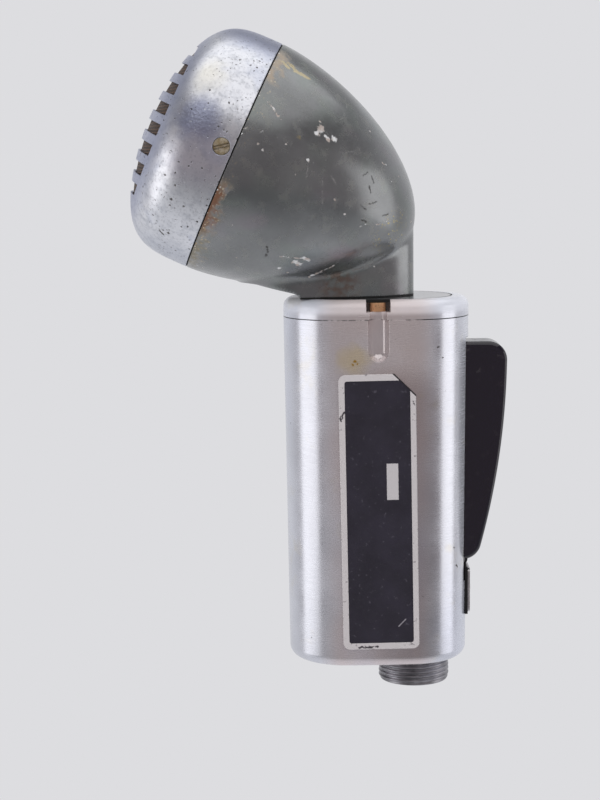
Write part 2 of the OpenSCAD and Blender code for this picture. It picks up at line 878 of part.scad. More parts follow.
// A tube along points, with a ring of corners square to the path at each one.
function unit(v) = v / norm(v);
function path_dir(p, i) =
    i == 0 ? unit(p[1] - p[0]) :
    i == len(p) - 1 ? unit(p[i] - p[i - 1]) :
    unit(unit(p[i + 1] - p[i]) + unit(p[i] - p[i - 1]));
module tube_along(p, r, up, sides = 6) {
    n = len(p);
    rings = [for (i = [0:n - 1])
        let (d = path_dir(p, i), u = unit(cross(up, d)), v = cross(d, u))
        for (k = [0:sides - 1]) p[i] + r * cos(360 * k / sides) * u + r * sin(360 * k / sides) * v];
    sides_faces = [for (i = [0:n - 2]) for (k = [0:sides - 1])
        let (a = i * sides + k, b = i * sides + (k + 1) % sides)
        each [[a, a + sides, b], [b, a + sides, b + sides]]];
    last = (n - 1) * sides;
    ends = [for (k = [1:sides - 2]) each [[0, k, k + 1], [last, last + k + 1, last + k]]];
    polyhedron(points = rings, faces = concat(sides_faces, ends));
}

spring_wire = 0.6;
spring_turns = 3;
spring_r = pivot_d / 2 + spring_wire / 2 + 0.15;

module lever_spring() {
    steps = 12;
    pitch = spring_wire + 0.45;
    start = -spring_turns * pitch / 2;
    leg = 6;
    coil = [for (i = [0:spring_turns * steps]) let (a = 360 * i / steps)
        [spring_r * cos(a + 180), start + pitch * i / steps, -spring_r * sin(a + 180)]];
    color([0.55, 0.55, 0.55])
        translate([pivot_x, 0, pivot_z])
            tube_along(
                concat([coil[0] - [0, 0.1, leg]], coil, [coil[len(coil) - 1] + [0, 0.1, leg]]),
                spring_wire / 2, [0, 1, 0.001]
            );
}

module bracket_screw() {
    dome_h = 0.5;
    dome_d = 5;
    ball = (pow(dome_d / 2, 2) + pow(dome_h, 2)) / (2 * dome_h);
    under = bracket_t + bracket_cover_t;
    color([0.5, 0.5, 0.5])
        translate([flat_x + under, 0, bracket_screw_z])
            rotate([0, 90, 0]) {
                translate([0, 0, -under - 4]) cylinder(d = screw_d, h = under + 4);
                difference() {
                    intersection() {
                        translate([0, 0, dome_h - ball]) sphere(r = ball);
                        cylinder(d = dome_d, h = 2 * dome_h);
                    }
                    translate([-dome_d, -0.4, dome_h / 2]) cube([2 * dome_d, 0.8, 2]);
                }
            }
}

// Switch
plunger_bore = 9.5;

module switch_case() {
    color([0.2, 0.12, 0.08])
        difference() {
            translate([switch_x, -switch_w / 2, switch_z - switch_h / 2])
                cube([switch_len, switch_w, switch_h]);
            translate([switch_front - plunger_bore, 0, switch_z])
                rotate([0, 90, 0]) cylinder(d = plunger_d + 2 * run_fit, h = plunger_bore + over);
            for (hole = switch_holes)
                translate([hole[0], -switch_w / 2 - over, hole[1]])
                    rotate([-90, 0, 0]) cylinder(r = clear_r, h = switch_w + 2 * over);
        }
}

module switch_plunger() {
    rest = switch_front - 5.6;
    color([0.85, 0.8, 0.7])
        translate([rest, 0, switch_z])
            rotate([0, 90, 0]) {
                cylinder(d = plunger_d, h = pusher_x - slack - rest - 0.8);
                translate([0, 0, pusher_x - slack - rest - 1.4]) cylinder(d = plunger_d + 1.6, h = 1.4);
            }
}

module switch_screws() {
    color([0.6, 0.6, 0.6])
        for (hole = switch_holes)
            translate([hole[0], -switch_w / 2, hole[1]])
                rotate([-90, 0, 0]) {
                    cylinder(d = screw_d, h = switch_w + 4);
                    translate([0, 0, -1.4]) cylinder(d = 1.8 * screw_d, h = 1.4);
                }
}

tag_len = 4.5;
tag_pitch = 4.5;
tag_w = 3;
tag_t = 0.6;

module switch_terminals() {
    color([0.8, 0.7, 0.4])
        for (i = [-1:1])
            translate([switch_x - tag_len, -tag_w / 2, switch_z + tag_pitch * i - tag_t / 2])
                cube([tag_len, tag_w, tag_t]);
}

// Connector
pin_ring = 4.6;
nut_d = 19.2;
nut_h = 3.4;
nut_notch = 3;
insert_h = 6;

module connector_shell() {
    color([0.6, 0.6, 0.62])
        translate([plug_x, 0, 0])
            difference() {
                union() {
                    translate([0, 0, -collar_h]) cylinder(d = collar_d, h = collar_h);
                    cylinder(d = stem_d, h = grip_floor + nut_h + 1.5);
                }
                translate([0, 0, -collar_h - over]) cylinder(d = collar_bore_d, h = socket_depth + over);
                translate([0, 0, -collar_h]) cylinder(d = stem_d - 3, h = collar_h + grip_floor + nut_h + 4);
            }
}

module connector_nut() {
    color([0.7, 0.6, 0.4])
        translate([plug_x, 0, grip_floor])
            difference() {
                cylinder(d = nut_d, h = nut_h);
                translate([0, 0, -over]) cylinder(d = stem_d + 2 * run_fit, h = nut_h + 2 * over);
                for (turn = [45, 135])
                    rotate([0, 0, turn])
                        translate([-nut_d, -nut_notch / 2, nut_h - 1]) cube([2 * nut_d, nut_notch, 2]);
            }
}

module connector_insert() {
    color([0.1, 0.1, 0.1])
        translate([plug_x, 0, socket_depth - collar_h])
            difference() {
                cylinder(d = stem_d - 3 - 2 * run_fit, h = insert_h);
                for (i = [0:3])
                    rotate([0, 0, 45 + 90 * i])
                        translate([pin_ring, 0, -over])
                            cylinder(d = contact_d + 2 * run_fit, h = insert_h + 2 * over);
            }
}

module connector_contacts() {
    color([0.8, 0.68, 0.35])
        translate([plug_x, 0, socket_depth - collar_h])
            for (i = [0:3])
                rotate([0, 0, 45 + 90 * i])
                    translate([pin_ring, 0, 0])
                        difference() {
                            cylinder(d = contact_d, h = contact_len);
                            translate([0, 0, -over]) cylinder(d = 1.1, h = 5 + over);
                        }
}

// Leads, which run from the capsule down the neck to the switch and the connector
function smooth(p, sub = 4) =
    [for (i = [0:len(p) - 2]) for (s = [0:sub - 1])
        let (t = s / sub, a = p[max(0, i - 1)], b = p[i], c = p[i + 1], d = p[min(len(p) - 1, i + 2)])
        b + (c - a) * t / 2 + (2 * a - 5 * b + 4 * c - d) * t * t / 2
            + (3 * b - a - 3 * c + d) * t * t * t / 2,
     p[len(p) - 1]];
lead_axis = [cos(head_tilt), 0, -sin(head_tilt)];
terminal_y = 5;
terminal_len = 4;
function off_terminal(side, out) =
    [seam_x, side * terminal_y, seam_z] + (case_back + terminal_len + out) * lead_axis;
contact_len = 9;
contact_d = 2.1;
contact_top = socket_depth - collar_h + contact_len;
contact_off = pin_ring * cos(45);
function off_contact(side, out) = [plug_x - contact_off, side * contact_off, contact_top + out];
function off_switch(side, out) = [switch_x - tag_len - out, 0, switch_z + side * tag_pitch];
channel_at = grip_x + channel_x;

module lead_wires() {
    r = 0.55;
    front_lead = [
        off_terminal(-1, 0), off_terminal(-1, 1.5), off_terminal(-1, 4),
        [channel_at - 3, -3, cap_z + 18], [channel_at, -2.4, cap_z + 6],
        [channel_at, -2.4, grip_h - 4], [switch_x - 9, -5, switch_z + 12], [switch_x - 9, -6, switch_z - 12],
        [plug_x - 9, -6, stand_len + 12], off_contact(-1, 5), off_contact(-1, 2), off_contact(-1, 0)
    ];
    back_lead = [
        off_terminal(1, 0), off_terminal(1, 1.5), off_terminal(1, 4),
        [channel_at - 3, 3, cap_z + 18], [channel_at, 2.4, cap_z + 6],
        [channel_at, 2.4, grip_h - 4], [switch_x - 11, 1, switch_z + 10],
        off_switch(1, 4), off_switch(1, 1.5), off_switch(1, 0)
    ];
    switch_lead = [
        off_switch(-1, 0), off_switch(-1, 1.5), off_switch(-1, 4), [switch_x - 9, 3, switch_z - 16],
        [plug_x - 9, 6, stand_len + 12], off_contact(1, 5), off_contact(1, 2), off_contact(1, 0)
    ];
    color([0.6, 0.1, 0.08])
        for (lead = [front_lead, back_lead, switch_lead])
            tube_along(smooth(lead), r, [0.1, 1, 0.05]);
}

grip_body();
top_cap();
cap_screws();
foot_plate();
plate_seal();
neck_gasket();
neck_screws();
head_shell();
seam_gasket();
grille_ring();
grille_screen();
ring_screws();
capsule_cushion();
capsule_case();
capsule_cover();
diaphragm();
drive_pin();
armature();
magnets();
pole_pieces();
coil_bobbin();
coil_winding();
capsule_terminals();
name_plate();
talk_lever();
lever_bracket();
bracket_cover();
lever_pivot();
lever_spring();
bracket_screw();
switch_case();
switch_plunger();
switch_screws();
switch_terminals();
connector_shell();
connector_nut();
connector_insert();
connector_contacts();
lead_wires();
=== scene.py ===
"""Looks of a hand and stand microphone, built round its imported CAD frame."""

import math

import bmesh
import bpy
import numpy as np
from bpy.props import FloatProperty, FloatVectorProperty, IntProperty, PointerProperty
from mathutils import Matrix, Vector


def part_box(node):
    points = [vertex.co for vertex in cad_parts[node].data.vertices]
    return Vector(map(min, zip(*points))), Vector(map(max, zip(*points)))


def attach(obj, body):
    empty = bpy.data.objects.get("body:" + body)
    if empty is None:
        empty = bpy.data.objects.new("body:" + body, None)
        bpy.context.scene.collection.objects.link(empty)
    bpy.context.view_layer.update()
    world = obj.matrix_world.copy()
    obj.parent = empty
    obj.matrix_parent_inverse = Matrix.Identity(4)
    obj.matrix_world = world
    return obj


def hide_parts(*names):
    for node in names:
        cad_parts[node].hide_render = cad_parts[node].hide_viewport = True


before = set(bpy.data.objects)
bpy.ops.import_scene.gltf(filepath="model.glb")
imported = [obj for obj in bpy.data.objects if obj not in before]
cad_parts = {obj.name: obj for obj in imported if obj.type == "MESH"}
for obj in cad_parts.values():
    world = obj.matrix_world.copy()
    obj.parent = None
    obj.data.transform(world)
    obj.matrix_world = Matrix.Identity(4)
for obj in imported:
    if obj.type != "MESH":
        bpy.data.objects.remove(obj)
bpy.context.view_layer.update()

bl_info = {
    "name": "Hand and stand microphone",
    "version": (1, 0, 0),
    "blender": (4, 5, 0),
    "location": "View3D > Sidebar > Microphone",
    "description": "Dresses the packed microphone: bell, grille, grip, talk lever and connector",
    "category": "Object",
}


def node_size(node):
    low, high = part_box(node)
    return high - low


def node_middle(node):
    low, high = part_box(node)
    return (low + high) / 2


def tone(red, green, blue):
    """A screen colour from 0 to 255 as the linear colour that the shader wants."""
    return tuple(
        c / 12.92 if c <= 0.04045 else ((c + 0.055) / 1.055) ** 2.4
        for c in (red / 255, green / 255, blue / 255)
    )


def shade(color, share):
    return tuple(min(1, c * share) for c in color)


GRIP_MIDDLE = node_middle("grip_body")
GRIP_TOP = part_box("grip_body")[1].z
CAP_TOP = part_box("top_cap")[1].z
SEAM_MIDDLE = node_middle("seam_gasket")
LEVER_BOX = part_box("talk_lever")
PIVOT = node_middle("lever_pivot")
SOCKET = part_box("connector_shell")


# Settings


class HeadSettings(bpy.types.PropertyGroup):
    tilt: FloatProperty(
        name="Tilt", description="Angle of the head above level",
        default=math.radians(24.5), unit="ROTATION",
    )
    radius: FloatProperty(
        name="Radius", description="Radius at the seam",
        default=node_size("grille_ring").y / 2, unit="LENGTH",
    )
    bell_reach: FloatProperty(
        name="Bell reach", description="How far the bell goes behind the seam",
        default=0.055, unit="LENGTH",
    )
    bell_wall: FloatProperty(
        name="Bell wall", description="Thickness of the bell",
        default=0.0022, unit="LENGTH",
    )
    fillet: FloatProperty(
        name="Neck fillet", description="Size of the hollow between bell and neck",
        default=0.0038, unit="LENGTH",
    )
    ring_reach: FloatProperty(
        name="Ring reach", description="How far the grille stands before the seam",
        default=0.0263, unit="LENGTH",
    )
    ring_wall: FloatProperty(
        name="Ring wall", description="Thickness of the grille's casting",
        default=0.002, unit="LENGTH",
    )
    bars: FloatProperty(
        name="Bars", description="Thickness of the bars between the slots",
        default=0.0007, unit="LENGTH",
    )
    slots: IntProperty(name="Slots", description="Number of slots in the grille", default=8, min=1)
    slot_pitch: FloatProperty(
        name="Slot pitch", description="Distance from one slot to the next",
        default=0.0059, unit="LENGTH",
    )
    slot_width: FloatProperty(
        name="Slot width", description="Width of each slot",
        default=0.0032, unit="LENGTH",
    )
    slot_field: FloatProperty(
        name="Slot field", description="Radius of the slotted field",
        default=0.0259, unit="LENGTH",
    )
    slot_rise: FloatProperty(
        name="Slot rise", description="Rise of the slots above the head's axis",
        default=0.0015, unit="LENGTH",
    )


class FinishSettings(bpy.types.PropertyGroup):
    paint: FloatVectorProperty(
        name="Bell paint", description="Colour of the bell's enamel",
        default=tone(139, 141, 142), subtype="COLOR", min=0, max=1,
    )
    metal: FloatVectorProperty(
        name="Grip metal", description="Colour of the brushed casting",
        default=tone(222, 224, 232), subtype="COLOR", min=0, max=1,
    )
    ring: FloatVectorProperty(
        name="Ring metal", description="Colour of the satin grille",
        default=tone(234, 236, 242), subtype="COLOR", min=0, max=1,
    )
    plate: FloatVectorProperty(
        name="Plate field", description="Colour of the name plate's field",
        default=tone(38, 34, 47), subtype="COLOR", min=0, max=1,
    )
    lever: FloatVectorProperty(
        name="Lever enamel", description="Colour of the talk lever",
        default=tone(15, 9, 24), subtype="COLOR", min=0, max=1,
    )


class StageSettings(bpy.types.PropertyGroup):
    backdrop: FloatVectorProperty(
        name="Backdrop", description="Colour of the floor and the backdrop",
        default=tone(221, 221, 224), subtype="COLOR", min=0, max=1,
    )
    floor_drop: FloatProperty(
        name="Floor drop", description="How far the floor lies below the grip",
        default=0.25, unit="LENGTH",
    )
    side_glow: FloatProperty(
        name="Side softboxes", description="Brightness of the softboxes at both sides",
        default=1.05, min=0,
    )
    top_glow: FloatProperty(
        name="Top softbox", description="Brightness of the softbox above",
        default=0.9, min=0,
    )


# Meshes


def mesh_object(name, points, faces, smooth_angle=35):
    """An object with its smooth faces parted at edges sharper than the angle."""
    mesh = bpy.data.meshes.new(name)
    mesh.from_pydata([tuple(p) for p in points], [], [tuple(f) for f in faces])
    mesh.update()
    made = bpy.data.objects.new(name, mesh)
    bpy.context.scene.collection.objects.link(made)
    part_edges(made, smooth_angle)
    return made


def part_edges(made, smooth_angle):
    built = bmesh.new()
    built.from_mesh(made.data)
    bmesh.ops.recalc_face_normals(built, faces=built.faces)
    limit = math.radians(smooth_angle)
    for face in built.faces:
        face.smooth = True
    for edge in built.edges:
        edge.smooth = len(edge.link_faces) == 2 and edge.calc_face_angle(0) < limit
    built.to_mesh(made.data)
    built.free()


def skin(name, rows, smooth_angle=35, ends=(True, True)):
    """Closed rows of points joined by quads, with a face on each end that is asked for."""
    count = len(rows[0])
    points = np.concatenate(rows)
    faces = []
    for row in range(len(rows) - 1):
        at = row * count
        for i in range(count):
            j = (i + 1) % count
            faces.append((at + i, at + j, at + count + j, at + count + i))
    if ends[0]:
        faces.append(tuple(range(count))[::-1])
    if ends[1]:
        faces.append(tuple(range((len(rows) - 1) * count, len(rows) * count)))
    return mesh_object(name, points, faces, smooth_angle)


def turned(profile, steps):
    """Rows of a lathe form about the Z axis, from its (radius, height) profile."""
    angles = np.arange(steps) * math.tau / steps
    round_x, round_y = np.cos(angles), np.sin(angles)
    return [np.column_stack([r * round_x, r * round_y, np.full(steps, z)]) for r, z in profile]


def spaced(curve, count):
    """The curve's points set an even distance apart."""
    curve = np.asarray(curve, float)
    along = np.concatenate([[0], np.cumsum(np.linalg.norm(np.diff(curve, axis=0), axis=1))])
    at = np.linspace(0, along[-1], count)
    return np.column_stack([np.interp(at, along, curve[:, k]) for k in range(curve.shape[1])])


def at_height(outline, z):
    return np.array([(x, y, z) for x, y in outline])


def prism(name, outline, low, high):
    """A plan outline raised from one height to another."""
    return skin(name, [at_height(outline, z) for z in (low, high)])


def cut(target, cutter):
    """Takes the cutter's form out of the target and throws the cutter away."""
    step = target.modifiers.new("cut", "BOOLEAN")
    step.operation, step.solver, step.object = "DIFFERENCE", "EXACT", cutter
    settle(target)
    bpy.data.objects.remove(cutter)


def settle(target):
    """Makes the modifiers' result the object's own mesh."""
    bpy.context.view_layer.update()
    evaluated = target.evaluated_get(bpy.context.evaluated_depsgraph_get())
    made = bpy.data.meshes.new_from_object(evaluated)
    target.modifiers.clear()
    target.data = made


def joined(name, objects):
    """One object with all the meshes of these."""
    built = bmesh.new()
    for part in objects:
        part.data.transform(part.matrix_world)
        built.from_mesh(part.data)
    mesh = bpy.data.meshes.new(name)
    built.to_mesh(mesh)
    built.free()
    for part in objects:
        bpy.data.objects.remove(part)
    made = bpy.data.objects.new(name, mesh)
    bpy.context.scene.collection.objects.link(made)
    return made


# Finishes


class Nodes:
    """A node tree, with a call for each kind of node. Each value is a socket or a constant."""

    def __init__(self, tree, coordinates="Object"):
        self.nodes, self.links = tree.nodes, tree.links
        self.place = self.node("TexCoord").outputs[coordinates]

    def node(self, kind, inputs=None, **settings):
        made = self.nodes.new("ShaderNode" + kind)
        for name, value in settings.items():
            setattr(made, name, value)
        for name, value in (inputs or {}).items():
            self.put(made.inputs[name], value)
        return made

    def put(self, socket, value):
        if isinstance(value, bpy.types.NodeSocket):
            self.links.new(value, socket)
        elif value is not None:
            socket.default_value = (*value, 1) if socket.type == "RGBA" else value

    def math(self, operation, a, b):
        return self.node("Math", {0: a, 1: b}, operation=operation).outputs[0]

    def chain(self, operation, values):
        out = values[0]
        for value in values[1:]:
            out = self.math(operation, out, value)
        return out

    def times(self, *values):
        return self.chain("MULTIPLY", values)

    def plus(self, *values):
        return self.chain("ADD", values)

    def most(self, *values):
        return self.chain("MAXIMUM", values)

    def rest(self, share):
        """What the share leaves of 1."""
        return self.math("SUBTRACT", 1.0, share)

    def vector(self, operation, a, b):
        return self.node("VectorMath", {0: a, 1: b}, operation=operation).outputs["Vector"]

    def scaled(self, vector, scale):
        return self.node("VectorMath", {0: vector, "Scale": scale}, operation="SCALE").outputs[0]

    def measure(self, operation, a, b=None):
        """A number from vectors, such as their DISTANCE or DOT_PRODUCT."""
        return self.node("VectorMath", {0: a, 1: b}, operation=operation).outputs["Value"]

    def axis(self, name, place=None):
        return self.node("SeparateXYZ", {0: place or self.place}).outputs[name]

    def band(self, value, start, end, low=0.0, high=1.0):
        """Turns a value's run from start to end into a smooth one from low to high."""
        ends = {"From Min": start, "From Max": end, "To Min": low, "To Max": high}
        made = self.node("MapRange", {"Value": value, **ends}, interpolation_type="SMOOTHSTEP")
        return made.outputs["Result"]

    def between(self, value, low, high, soft):
        """A mask that is 1 where the value lies between two bounds."""
        return self.times(
            self.band(value, low - soft, low + soft), self.band(value, high + soft, high - soft)
        )

    def near(self, place, at, reach, soft):
        """A mask round one point: 1 within the reach, then fading over the soft distance."""
        return self.band(self.measure("DISTANCE", place, at), reach + soft, reach)

    def mix(self, share, a, b):
        """A colour part of the way from one to the other."""
        inputs = {"Factor": share, "A": a, "B": b}
        return self.node("Mix", inputs, data_type="RGBA").outputs["Result"]

    def blend(self, share, a, b):
        """A number part of the way from one to the other."""
        return self.node("Mix", {"Factor": share, "A": a, "B": b}).outputs["Result"]

    def texture(self, kind, size, stretch=(1, 1, 1), place=None, **inputs):
        """Features of about this size, in metres, and longer where stretch is over 1."""
        lie = self.vector("MULTIPLY", place or self.place, tuple(1 / (size * s) for s in stretch))
        return self.node("Tex" + kind, {"Vector": lie, "Scale": 1.0, **inputs}).outputs

    def noise(self, size, detail, stretch=(1, 1, 1), rough=0.55):
        return self.texture("Noise", size, stretch, Detail=detail, Roughness=rough)["Fac"]

    def cells(self, size, place):
        """Distance from the nearest of scattered points, as a share of the spacing."""
        return self.texture("Voronoi", size, place=place)["Distance"]

    def ragged(self, size, reach):
        """The place, pushed about by noise so that what is drawn with it has a torn edge."""
        push = self.texture("Noise", size, Detail=3.0, Roughness=0.5)["Color"]
        push = self.vector("SUBTRACT", push, (0.5, 0.5, 0.5))
        return self.vector("ADD", self.place, self.scaled(push, 2 * reach))

    def marks(self, places, ragged, edge=0.25, fray=0.0):
        """A mask of spots and strokes, each (start, end or None, half width) in millimetres.

        Fray wears holes in them.
        """
        distances = []
        for start, end, width in places:
            start = Vector(start) / 1000
            if end is None:
                away = self.measure("DISTANCE", ragged, start)
            else:
                run = Vector(end) / 1000 - start
                lead = self.vector("SUBTRACT", ragged, start)
                along = self.measure("DOT_PRODUCT", lead, run / run.length_squared)
                along = self.math("MINIMUM", self.most(along, 0.0), 1.0)
                away = self.measure("DISTANCE", lead, self.scaled(run, along))
            distances.append(self.math("DIVIDE", away, width / 1000))
        nearest = self.chain("MINIMUM", distances)
        if fray:
            holes = self.math("SUBTRACT", self.noise(0.00075, 4, rough=0.65), 0.42)
            nearest = self.plus(nearest, self.times(holes, fray * 4))
        return self.band(nearest, 1.0 + edge, 1.0 - edge)

    def rounded(self, radius):
        """The normal, turned near edges as if they were rounded."""
        return self.node("Bevel", {"Radius": radius}, samples=4).outputs["Normal"]

    def worn_edges(self, reach, start, end):
        """A mask of the outer and inner edges, from how much a wider rounding turns the normal."""
        flat = self.node("NewGeometry").outputs["Normal"]
        turn = self.measure("DOT_PRODUCT", self.rounded(reach), flat)
        return self.band(self.rest(turn), start, end)

    def weave(self, pitch):
        """Crossed threads of a woven screen."""
        turns = (self.times(self.axis(name), math.tau / pitch) for name in "YZ")
        waves = (self.node("Math", {0: turn}, operation="SINE").outputs[0] for turn in turns)
        return self.band(self.most(*waves), 0.2, 0.9)


class Finish(Nodes):
    """A material under way. Its places are in metres, in the model's axes or in those given."""

    def __init__(self, name, color, rough, metal=0.0, rounding=0.0003, axes=None):
        self.material = bpy.data.materials.new(name)
        self.material.use_nodes = True
        super().__init__(self.material.node_tree)
        self.shader = self.nodes["Principled BSDF"]
        self.color, self.rough, self.metal = color, rough, metal
        if axes is not None:
            lie = {"Vector": self.place, "Location": axes.translation, "Rotation": axes.to_euler()}
            self.place = self.node("Mapping", lie, vector_type="TEXTURE").outputs["Vector"]
        self.normal = self.rounded(rounding) if rounding else None

    def tint(self, screen, *shares):
        """Lays a screen colour over what is there, by the product of the shares."""
        self.color = self.mix(self.times(*shares), self.color, tone(*screen))

    def patches(self, screen, source, start, end, share):
        """Lays a screen colour where the source runs from start to end, up to this share."""
        self.tint(screen, self.band(source, start, end, 0, share))

    def clouded(self, source, start, end, dark, light):
        """Lets the colour drift between a darker and a lighter shade of itself."""
        share = self.band(source, start, end)
        self.color = self.mix(share, shade(self.color, dark), shade(self.color, light))

    def bump(self, height, depth, strength=1.0):
        """Adds relief of this depth, in metres, to what the normal has so far."""
        inputs = {"Strength": strength, "Distance": depth, "Height": height, "Normal": self.normal}
        self.normal = self.node("Bump", inputs).outputs["Normal"]

    def done(self):
        looks = (self.color, self.rough, self.metal, self.normal)
        for name, value in zip(("Base Color", "Roughness", "Metallic", "Normal"), looks):
            self.put(self.shader.inputs[name], value)
        return self.material


def dress(made, *materials):
    """Gives the object these materials in place of its own."""
    made.data.materials.clear()
    for material in materials:
        made.data.materials.append(material)


def dress_nodes(material, *names):
    for name in names:
        dress(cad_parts[name], material)


def on_body(made, body, slot, *stands_for):
    """Puts a new piece on its body and hides the nodes that it stands for. Its slot is not used."""
    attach(made, body)
    if stands_for:
        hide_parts(*stands_for)
    return made


def plain_finish(name, screen, rough, metal=0.0, grain=0.0006, variation=0.12, relief=0.00002):
    """A machined, moulded or drawn surface with slight unevenness of colour, gloss and form."""
    finish = Finish(name, tone(*screen), rough, metal)
    patch, fine = finish.noise(grain * 12, 4), finish.noise(grain, 3)
    finish.clouded(patch, 0.3, 0.7, 1 - variation, 1 + variation)
    finish.rough = finish.band(fine, 0.25, 0.75, rough * 0.85, min(1, rough * 1.2))
    finish.bump(fine, relief, 0.6)
    return finish.done()


# Marks on the bell in the head's own axes, as (start, end or None, half width) in millimetres
BELL_CHIPS = (
    ((17.4, -29.3, -3.1), (16.3, -29.6, -5.2), 0.2),
    ((16.3, -29.6, -5.2), (14.5, -30.1, -8.2), 0.3), ((16.6, -25.9, -19.1), None, 1.2),
    ((15.2, -27, -18.6), None, 0.9), ((15.3, -26, -20.9), (14.8, -25.8, -22.3), 0.5),
    ((15.6, -24.7, -23.6), None, 0.85), ((18.3, -25.1, -18.1), None, 0.4),
    ((6.1, -33.2, -5.4), None, 0.35), ((5.1, -33.2, -7.1), None, 0.45),
    ((7.6, -29.8, -19.3), None, 0.5), ((21.6, -13.8, -31.9), None, 0.3),
    ((15.2, -16, -38.3), (15, -15.1, -39.5), 0.2), ((-1.7, -18.4, -43.3), (1.6, -15.8, -46.2), 0.2),
    ((-21.7, -12.7, -33), (-18.4, -14.7, -35.8), 0.4),
    ((-18.4, -14.7, -35.8), (-16.2, -15.5, -37.7), 0.25),
    ((-25.3, -7.6, -30.3), (-21.7, -12.7, -33), 0.16),
    ((-19.5, -22.1, -22.9), (-18.7, -21.3, -25.9), 0.22),
    ((-18.7, -21.3, -25.9), (-17.4, -20.7, -28.9), 0.3),
    ((-19.5, -19.9, -27.1), (-19.5, -18.8, -28.9), 0.75),
    ((-17.4, -20.7, -28.9), (-17.3, -19.7, -30.7), 0.65), ((-22.9, -17.9, -24.1), None, 0.5),
    ((-23.2, -15.8, -26.6), None, 0.35),
)
BELL_SCRATCHES = (
    ((27.2, -12.3, -21.9), (25.1, -15.2, -23.3), 0.1),
    ((25.1, -15.2, -23.3), (21.5, -20, -23.2), 0.12),
    ((21.5, -20, -23.2), (19.9, -22.2, -22), 0.12),
    ((6.1, -29.9, -19.9), (2.5, -30.1, -20.9), 0.12),
    ((4.2, -28.4, -24.9), (-1.3, -27.6, -27.6), 0.16),
    ((1.9, -29.4, -22.9), (-2.9, -29, -23.9), 0.12),
    ((13.4, -24.2, -27.7), (15.1, -21.7, -30.3), 0.1),
    ((6.2, -27.3, -26.7), (4.8, -26.7, -28.8), 0.3),
    ((16.6, -20.5, -30.4), (15.1, -20.8, -31.7), 0.14),
)
BELL_NICKS = (
    ((-20.6, -22.7, -19.4), None, 0.5), ((-18.2, -25.1, -18.5), (-19.7, -23.6, -19.4), 0.3),
    ((9.7, -22.1, -34.8), (11.2, -20.8, -35.6), 0.13),
    ((10.6, -20.3, -36.9), (9.2, -20, -38.4), 0.2), ((7.9, -21.2, -37.4), (6.4, -20.8, -38.7), 0.2),
    ((2.2, -22.6, -37.2), (1.6, -21.3, -39.4), 0.15),
    ((3.4, -21, -39.4), (4.8, -19.4, -41.3), 0.16),
    ((-1.4, -21.2, -39.5), (-1.4, -20.3, -40.7), 0.3),
    ((1.9, -17.4, -44.5), (3, -16.2, -45.6), 0.2),
)
BELL_TAN = (
    ((12.1, -29.6, -14.8), None, 0.7), ((29.3, -17, -4.3), (28.2, -18.3, -6.6), 0.9),
    ((28.2, -18.3, -6.6), (27.8, -17.7, -10.4), 0.8), ((29, -17.9, -2.4), (28.3, -18.7, -4.2), 0.8),
)


